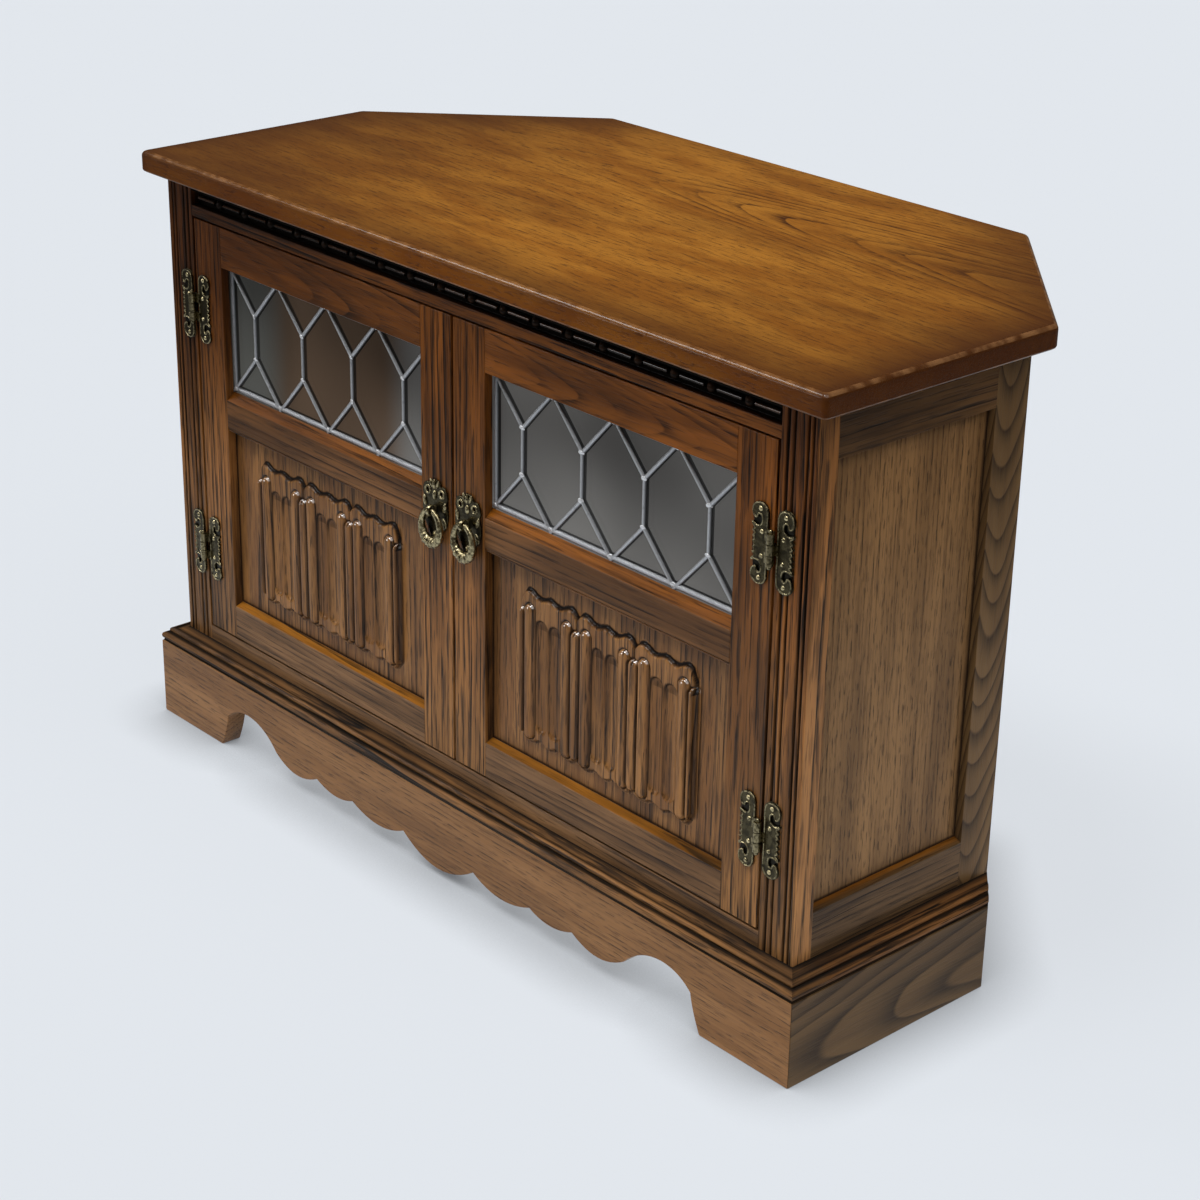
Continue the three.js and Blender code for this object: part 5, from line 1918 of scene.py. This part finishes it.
@dataclass
class Hinge:
    """One surface hinge: two scrolled leaves, a barrel with ball ends, and dome nails."""

    level: str
    height: float
    half_height: float = 34.5
    leaf_width: float = 17.5
    leaf_thickness: float = 2.0
    axis_x: float = 396.0
    axis_forward: float = 5.5
    knuckle_length: float = 9.0
    clearance: float = 0.3
    pin_radius: float = 1.6
    post_leaf_at: float = 400.0
    door_leaf_at: float = 389.5
    nail_radius: float = 2.15
    barrel_radius: float = 3.4
    outline: tuple[Point, ...] = (
        (0.0, 0.5), (0.0, 0.74), (0.03, 0.85), (0.14, 0.94), (0.32, 0.99), (0.52, 1.0), (0.72, 0.98),
        (0.88, 0.93), (0.98, 0.85), (1.0, 0.76), (0.98, 0.68), (0.9, 0.61), (0.78, 0.575), (0.68, 0.58),
        (0.63, 0.63), (0.6, 0.68), (0.5, 0.7), (0.4, 0.66), (0.37, 0.58), (0.4, 0.5), (0.5, 0.445),
        (0.64, 0.43), (0.8, 0.44), (0.93, 0.475), (1.02, 0.47), (0.98, 0.4), (0.84, 0.35), (0.82, 0.32),
        (0.96, 0.28), (0.96, 0.25), (0.84, 0.22), (0.84, 0.19), (0.95, 0.15), (0.95, 0.12), (0.84, 0.09),
        (0.84, 0.06), (0.94, 0.02),
    )
    rim: float = 0.75
    # The black plate behind the scrolls, painted shade where the slots would show the wood, and the nails, as
    # shares of the leaf.
    ground: tuple[Point, ...] = ((0.06, 0.95), (0.7, 0.96), (0.93, 0.86), (0.95, 0.5), (0.78, 0.3))
    nails: tuple[Point, ...] = ((0.47, 0.84), (0.36, 0.3))
    nail_rise: float = 1.4
    door_bore: float = 0.4
    ball: float = 2.0
    tip: float = 3.2
    web_depth: Point = (-3.2, -0.6)
    # How bright each part is rubbed.
    rubbed_barrel: float = 0.35
    rubbed_rim: float = 0.4

    def _at(self, inner: float, away: int, u: float, v: float) -> Point:
        """A place on a leaf from its shares."""
        return inner + away * u * self.leaf_width, self.height + v * self.half_height

    def _closed(self, half: Sequence[Point], inner: float, away: int) -> list[Point]:
        """A smooth closed line on a leaf from its upper half in shares of the leaf."""
        line = [*half, *((u, -v) for u, v in reversed(half))]
        return Shaper.softened([self._at(inner, away, u, v) for u, v in line])

    def _barrel(self, profile: Sequence[Point], ring: bool) -> Mesh:
        """A turned part on the pin's axis.

        Args:
            profile: Its profile.
            ring: Whether it has a bore.

        Returns:
            The mesh.
        """
        def to_row(a: float, b: float, h: float) -> Vector:
            """A point about the axis in the row frame."""
            return row_point(self.axis_x + a, b - self.axis_forward, self.height + h)

        return Shaper.turned(profile, to_row, 20, ring)

    def _knuckle(self, low: float, high: float, bore: float) -> list[Point]:
        """A knuckle's closed profile with eased edges.

        Args:
            low: Its lower end.
            high: Its upper end.
            bore: Its inner radius.

        Returns:
            The points (radius, height).
        """
        r = self.barrel_radius
        return [(bore, low), (r - 0.6, low), (r - 0.12, low + 0.25), (r, low + 0.8),
                (r, high - 0.8), (r - 0.12, high - 0.25), (r - 0.6, high), (bore, high)]

    def _web(self, leaf_edge: float, low: float, high: float) -> Mesh:
        """The strap that joins a knuckle to its leaf.

        Args:
            leaf_edge: Where it meets the leaf.
            low: Its lower end.
            high: Its upper end.

        Returns:
            The mesh.
        """
        (left, right), (front, back) = sorted((leaf_edge, self.axis_x)), self.web_depth
        plan = ((left, front), (right, front), (right, back), (left, back))
        rings = [[row_point(x, y, self.height + z) for x, y in plan] for z in (low, high)]
        return Shaper.loft(rings)

    def _cast(self, bench: Bench, inner: float, away: int,
              parts: Sequence[Mesh]) -> Mesh:
        """One leaf with a black plate behind it as painted shade, its knuckles, its raised rim and its nails.

        Args:
            bench: The bench.
            inner: Where its straight edge lies.
            away: 1 where it spreads to the right, -1 to the left.
            parts: Its knuckles, webs and pin.

        Returns:
            The mesh.
        """
        line = self._closed(self.outline, inner, away)
        plate = Shaper.plate([line], (-self.leaf_thickness, 0.0), 0.4)
        # A thin black plate behind the leaf paints the shade in its slots; it is marked hollow and turns near
        # black.
        shade = Shaper.plate([self._closed(self.ground, inner, away)], (-0.6, 0.0), 0.2)
        rim = [row_point(x, -self.leaf_thickness + 0.25, z) for x, z in Shaper.inset(line, self.rim)]
        bead = bench.repeat("rim", bench.bead, rim, "antique_brass", Radius=self.rim * MM)
        spots = [self._at(inner, away, u, s * v) for u, v in self.nails for s in (-1, 1)]
        points = [row_point(x, -self.leaf_thickness + 0.2, z) for x, z in spots]
        radii = Vector((self.nail_radius, self.nail_rise, self.nail_radius)) * MM
        nails = bench.repeat("nails", bench.scatter, points, "antique_brass",
                             Shaper.ball(Vector(), radii), Jitter=0.0, Seed=3)
        whole = [shade, plate, *parts, bead, nails]
        counts = [len(part.polygons) for part in whole]
        bright = [0.0, 0.0, *[self.rubbed_barrel] * len(parts), self.rubbed_rim, 1.0]
        mesh = Shaper.joined(whole)
        mark(mesh, "hollow", np.repeat([1.0] + [0.0] * (len(whole) - 1), counts), "FACE")
        mark(mesh, "arris", np.repeat(bright, counts), "FACE")
        return mesh

    def build(self, bench: Bench, side: Side) -> None:
        """Shapes and finishes both leaves on one side.

        Args:
            bench: The bench.
            side: Its side.
        """
        half = self.knuckle_length / 2
        near = half + self.clearance
        far = near + self.knuckle_length
        tip = far + self.tip
        ball = Shaper.arc((0.0, tip - self.ball), self.ball, -50, 88, 6)
        pin = [(0.0, -tip)] + [(r, -h) for r, h in reversed(ball)]
        pin += [(self.pin_radius, -far + 1), (self.pin_radius, far - 1)] + ball + [(0.0, tip)]
        post = [self._barrel(self._knuckle(-half, half, self.pin_radius + self.clearance), True),
                self._web(self.post_leaf_at + 2, -half, half)]
        door = [self._barrel(self._knuckle(near, far, self.door_bore), True),
                self._barrel(self._knuckle(-far, -near, self.door_bore), True), self._barrel(pin, False),
                self._web(self.door_leaf_at - 2, near, far), self._web(self.door_leaf_at - 2, -far, -near)]
        for leaf, inner, away, parts, body in (("post", self.post_leaf_at, 1, post, "carcass"),
                                               ("door", self.door_leaf_at, -1, door, f"{side}_door")):
            node = f"{side}_{self.level}_hinge_{leaf}_leaf"
            mesh = self._cast(bench, inner, away, parts)
            bench.piece(f"{node}_cast", mesh, body, "antique_brass", [node], side=side)


@dataclass
class Handle:
    """The pierced back plate with its eye, and the heavy ring that hangs in it."""

    x: float = 23.0
    pivot: float = 358.0
    top: float = 386.0
    bottom: float = 328.0
    half_width: float = 18.0
    thickness: float = 2.0
    forward: float = 7.25
    ring_half_width: float = 13.0
    ring_half_height: float = 15.5
    ring_top_radius: float = 2.6
    ring_bottom_radius: float = 4.5
    outline: tuple[Point, ...] = (
        (0.0, 1.0), (0.2, 1.0), (0.4, 0.96), (0.46, 0.9), (0.6, 0.93), (0.82, 0.9), (0.97, 0.81),
        (0.96, 0.72), (0.86, 0.66), (0.98, 0.58), (1.0, 0.46), (0.94, 0.34), (0.8, 0.24), (0.6, 0.18),
        (0.48, 0.12), (0.4, 0.03), (0.2, 0.0),
    )
    hole: tuple[float, float, float] = (0.54, 0.8, 2.4)
    # Each swelling: its place in shares of the plate, how proud it lies, its radii and its turn.
    scrolls: tuple[tuple[float, ...], ...] = (
        (0.78, 0.6, -2.2, 2.4, 1.5, 5.2, 0.25), (0.72, 0.34, -2.0, 2.4, 1.3, 5.0, -0.5),
        (0.24, 0.93, -2.3, 1.5, 1.5, 4.2, 0.35),
    )
    crest: tuple[tuple[float, ...], ...] = (
        (0.0, 0.93, -2.5, 1.7, 1.9, 4.6, 0.0), (0.0, 0.75, -2.2, 2.6, 1.8, 4.4, 0.0),
        (0.0, 0.1, -2.0, 3.4, 1.6, 3.6, 0.0),
    )
    stem: tuple[float, float, float] = (2.0, 3.2, 3.6)
    rubbed: float = 0.6
    lobes: int = 11

    def _at(self, u: float, v: float, side: int = 1) -> Point:
        """A place on the plate from its shares."""
        return self.x + side * u * self.half_width, self.bottom + v * (self.top - self.bottom)

    def plate(self) -> Mesh:
        """The back plate with its scrolls, crest and eye.

        Returns:
            The mesh.
        """
        right = [self._at(u, v) for u, v in self.outline]
        left = [self._at(u, v, -1) for u, v in reversed(self.outline)]
        outlines = [Shaper.softened([*right, *left[:-1]])]
        parts = []
        for side in (-1, 1):
            x, z = self._at(*self.hole[:2], side)
            outlines.append(Shaper.arc((x, z), self.hole[2], 0, 340, 17))
            parts.append(self._hoop((x, -self.thickness, z), 3.5, 1.1, 0.0))
            parts += [self._egg(scroll, side) for scroll in self.scrolls]
        parts += [self._egg(swelling, 1) for swelling in self.crest]
        parts.append(self._hoop((self.x, -self.forward, self.pivot), 4.35, 1.15, 90.0, 1.8))
        half, tall, front = self.stem
        square = ((-half, -tall), (half, -tall), (half, tall), (-half, tall))
        parts.append(Shaper.loft([[row_point(self.x + x, y, self.pivot + z) for x, z in square]
                                          for y in (-self.thickness, -front)]))
        plate = Shaper.plate(outlines, (-self.thickness, 0.0), 0.6)
        plain = len(plate.polygons)
        whole = Shaper.joined([plate, *parts])
        mark(whole, "arris", self.rubbed * (np.arange(len(whole.polygons)) >= plain), "FACE")
        return whole

    def _egg(self, swelling: Sequence[float], side: int) -> Mesh:
        """One raised leaf or ball of the casting.

        Args:
            swelling: Its place, height, radii and turn.
            side: 1 on the right half of the plate, -1 on the left one.

        Returns:
            The mesh.
        """
        u, v, y, *radii, turn = swelling
        x, z = self._at(u, v, side)
        return Shaper.ball(row_point(x, y, z), Vector(radii) * MM, side * turn)

    @staticmethod
    def _hoop(centre: tuple[float, float, float], radius: float, wire: float, turn: float,
              stretch: float = 1.0) -> Mesh:
        """A ring of round wire.

        Args:
            centre: Its centre.
            radius: Its radius.
            wire: The wire's radius.
            turn: Its turn about Z in degrees; at 0 it lies flat on the plate.
            stretch: How much wider than round the wire is along the ring's axis.

        Returns:
            The mesh.
        """
        spin = Matrix.Rotation(math.radians(turn), 3, "Z")
        rings = []
        for a in np.linspace(0, 2 * math.pi, 24, endpoint=False):
            ring = []
            for b in np.linspace(0, 2 * math.pi, 10, endpoint=False):
                reach = radius + wire * math.cos(b)
                local = Vector((reach * math.cos(a), wire * stretch * math.sin(b), reach * math.sin(a)))
                ring.append(row_point(*(spin @ local + Vector(centre))))
            rings.append(ring)
        return Shaper.loft(rings, around=True)

    def ring(self) -> Mesh:
        """The drop ring, with its roped and beaded lower part.

        Returns:
            The mesh.
        """
        rings = []
        for a in np.linspace(0, 2 * math.pi, 120, endpoint=False):
            share = (1 - math.cos(a)) / 2
            radius = self.ring_top_radius + (self.ring_bottom_radius - self.ring_top_radius) * share ** 1.6
            centre = Vector((self.ring_half_width * math.sin(a), self.ring_half_height * (math.cos(a) - 1)))
            outward = Vector((math.sin(a) / self.ring_half_width, math.cos(a) / self.ring_half_height))
            outward.normalize()
            ring = []
            for b in np.linspace(0, 2 * math.pi, 28, endpoint=False):
                front = max(0.0, math.sin(b - math.pi))
                lobes = math.sin(a * 2 * self.lobes) * 0.05 + math.sin(a * self.lobes + 2 * b) * 0.05
                rope = 1 + share * (lobes + 0.03 * math.sin(3 * b)) * (0.5 + front) - 0.04
                reach = radius * rope
                side = centre + outward * reach * math.cos(b) * (1 + 0.24 * share)
                y = -self.forward + reach * math.sin(b)
                ring.append(row_point(self.x + side.x, y, self.pivot + side.y))
            rings.append(ring)
        mesh = Shaper.loft(rings, around=True)
        mark(mesh, "arris", self.rubbed, "FACE")
        return mesh

    def build(self, bench: Bench, side: Side) -> None:
        """Shapes and finishes the handle of one door.

        Args:
            bench: The bench.
            side: Its side.
        """
        for node, mesh, body in ((f"{side}_handle_plate", self.plate(), f"{side}_door"),
                                 (f"{side}_drop_ring", self.ring(), f"{side}_ring")):
            bench.piece(f"{node}_cast", mesh, body, "antique_brass", [node], side=side)


@dataclass
class Door:
    """One door: its frame, carved panel, leaded light, hinges and handle."""

    side: Side
    frame_boards: tuple[tuple[str, Grain, Cut], ...] = (
        ("meeting_stile", Grain.ALONG_Z, Cut.STRAIGHT), ("hinge_stile", Grain.ALONG_Z, Cut.STRAIGHT),
        ("door_top_rail", Grain.ALONG_X, Cut.ARCHED), ("door_mid_rail", Grain.ALONG_X, Cut.CALM),
        ("door_bottom_rail", Grain.ALONG_X, Cut.CALM),
    )
    glazing_bevel: float = 0.4
    hinges: tuple[tuple[str, float], ...] = (("upper", 455.0), ("lower", 203.5))
    panel_opening: tuple[Point, Point] = ((44.5, 153.0), (351.5, 341.0))
    panel_thickness: float = 9.0
    tongue: float = 7.0
    # The bead below the middle rail: its middle, its radius, its flat back and its ends.
    bead: tuple[Point, float] = ((2.3, 339.4), 1.45)
    bead_back: tuple[Point, Point] = ((8.8, 338.2), (8.8, 340.9))
    bead_ends: Point = (44.6, 351.4)

    def build(self, bench: Bench) -> None:
        """Shapes and finishes the door.

        Args:
            bench: The bench.
        """
        side, body = self.side, f"{self.side}_door"
        for part, grain, cut in self.frame_boards:
            bench.board(f"{side}_{part}", body, "body_oak", grain, cut)
        bench.board(f"{side}_glazing_bead", body, "inside_oak", Grain.ALONG_X, Cut.STRAIGHT,
                    self.glazing_bevel)
        self._panel(bench)
        section = [*Shaper.arc(*self.bead, 100, 300, 10), *self.bead_back]
        rings = [[row_point(x, y, z) for y, z in section] for x in self.bead_ends]
        name = f"{side}_mid_rail_bead"
        bench.piece(name, Shaper.loft(rings), body, "body_oak",
                    timber=(Grain.ALONG_X, Cut.STRAIGHT), side=self.side)
        LeadedLight().build(bench, side)
        for level, height in self.hinges:
            Hinge(level, height).build(bench, side)
        Handle().build(bench, side)

    def _panel(self, bench: Bench) -> None:
        """Shapes and finishes the panel's field and the cloth carved on it.

        Args:
            bench: The bench.
        """
        body, node = f"{self.side}_door", f"{self.side}_linenfold_panel"
        field = Shaper.panel(self.panel_opening, self.tongue, self.panel_thickness,
                             lambda x, z, depth: row_point(x, Linenfold.field_y + depth, z))
        timber = (Grain.ALONG_Z, Cut.STRAIGHT)
        bench.piece(f"{node}_field", field, body, "linenfold_oak", [node], timber, side=self.side)
        carving = Linenfold().carve()
        cloth = put(f"{node}_carving", Shaper.mirrored(carving, self.side))
        bench.lay_grain(cloth, *timber)
        bench.publish(cloth, "linenfold_oak", body)


@dataclass
class Studio:
    """Camera, soft light and pale floor."""

    eye: tuple[float, float, float] = (1.69492, -1.56322, 1.23759)
    right: tuple[float, float, float] = (0.66594646, 0.74582485, 0.01614343)
    forward: tuple[float, float, float] = (-0.67779778, 0.61396114, -0.40452675)
    lens: float = 79.035
    sensor: float = 36.0
    floor_half: float = 30.0
    backdrop: Colour = (0.753, 0.791, 0.839)
    room: Colour = (0.1, 0.092, 0.08)
    # Each lamp: its name, where it stands, how wide it looks in degrees, and its strength.
    lamps: tuple[tuple[str, tuple[float, float, float], float, float], ...] = (
        ("key", (-0.13, -0.36, 0.92), 20.0, 1.6), ("side", (0.43, -0.1, 0.9), 60.0, 1.65),
        ("left", (-0.68, -0.38, 0.6), 15.0, 0.5), ("low_left", (-0.68, -0.72, 0.08), 12.0, 0.3),
    )
    far_end: float = 200.0

    def _camera(self) -> None:
        """The camera at the photograph's place."""
        data = bpy.data.cameras.new("camera")
        data.sensor_width = self.sensor
        data.lens = self.lens
        data.dof.use_dof = False
        data.clip_end = self.far_end
        camera = put("camera", data)
        forward, right = Vector(self.forward).normalized(), Vector(self.right).normalized()
        up = right.cross(forward).normalized()
        turn = Matrix((right, up, -forward)).transposed().to_4x4()
        camera.matrix_world = Matrix.Translation(self.eye) @ turn
        bpy.context.scene.camera = camera

    def _sky(self) -> None:
        """A pale backdrop for the camera and a dim room for the light."""
        world = bpy.data.worlds.new("studio_room")
        world.use_nodes = True
        graph = Graph(world.node_tree)
        room, backdrop = (graph.node("ShaderNodeBackground", {}, {"Color": (*colour, 1.0)})
                          for colour in (self.room, self.backdrop))
        seen = graph.node("ShaderNodeLightPath", {}, {}, "Is Camera Ray")
        mixed = graph.node("ShaderNodeMixShader", {}, {0: seen, 1: room, 2: backdrop})
        graph.end("ShaderNodeOutputWorld", mixed)
        bpy.context.scene.world = world

    def build(self) -> None:
        """Sets up the camera, the lamps, the room and the floor."""
        bpy.context.scene.view_settings.view_transform = "Standard"
        self._camera()
        self._sky()
        for name, towards, width, strength in self.lamps:
            data = bpy.data.lights.new(name, "SUN")
            data.angle = math.radians(width)
            data.energy = strength
            put(name, data).rotation_euler = Vector(towards).to_track_quat("Z", "Y").to_euler()
        half = self.floor_half
        mesh = bpy.data.meshes.new("floor")
        mesh.from_pydata([(-half, -half, 0), (half, -half, 0), (half, half, 0), (-half, half, 0)], [],
                         [(0, 1, 2, 3)])
        mesh.materials.append(FloorFinish().build())
        put("floor", mesh)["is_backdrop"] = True


def main() -> None:
    """Builds every sub-assembly in order."""
    logging.basicConfig(level=logging.INFO, format="%(name)s: %(message)s")
    bench = Bench()
    doors = [Door(side) for side in Side]
    for part in (TopBoard(), SideFrames(), FrontRails(), Plinth(), Inside(), *doors):
        part.build(bench)
    Studio().build()
    boxes = [[list(corner) for corner in box] for box in (CAD_BOX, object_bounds())]
    {"cad": boxes[0], "visual": boxes[1]}


if __name__ == "__main__":
    main()
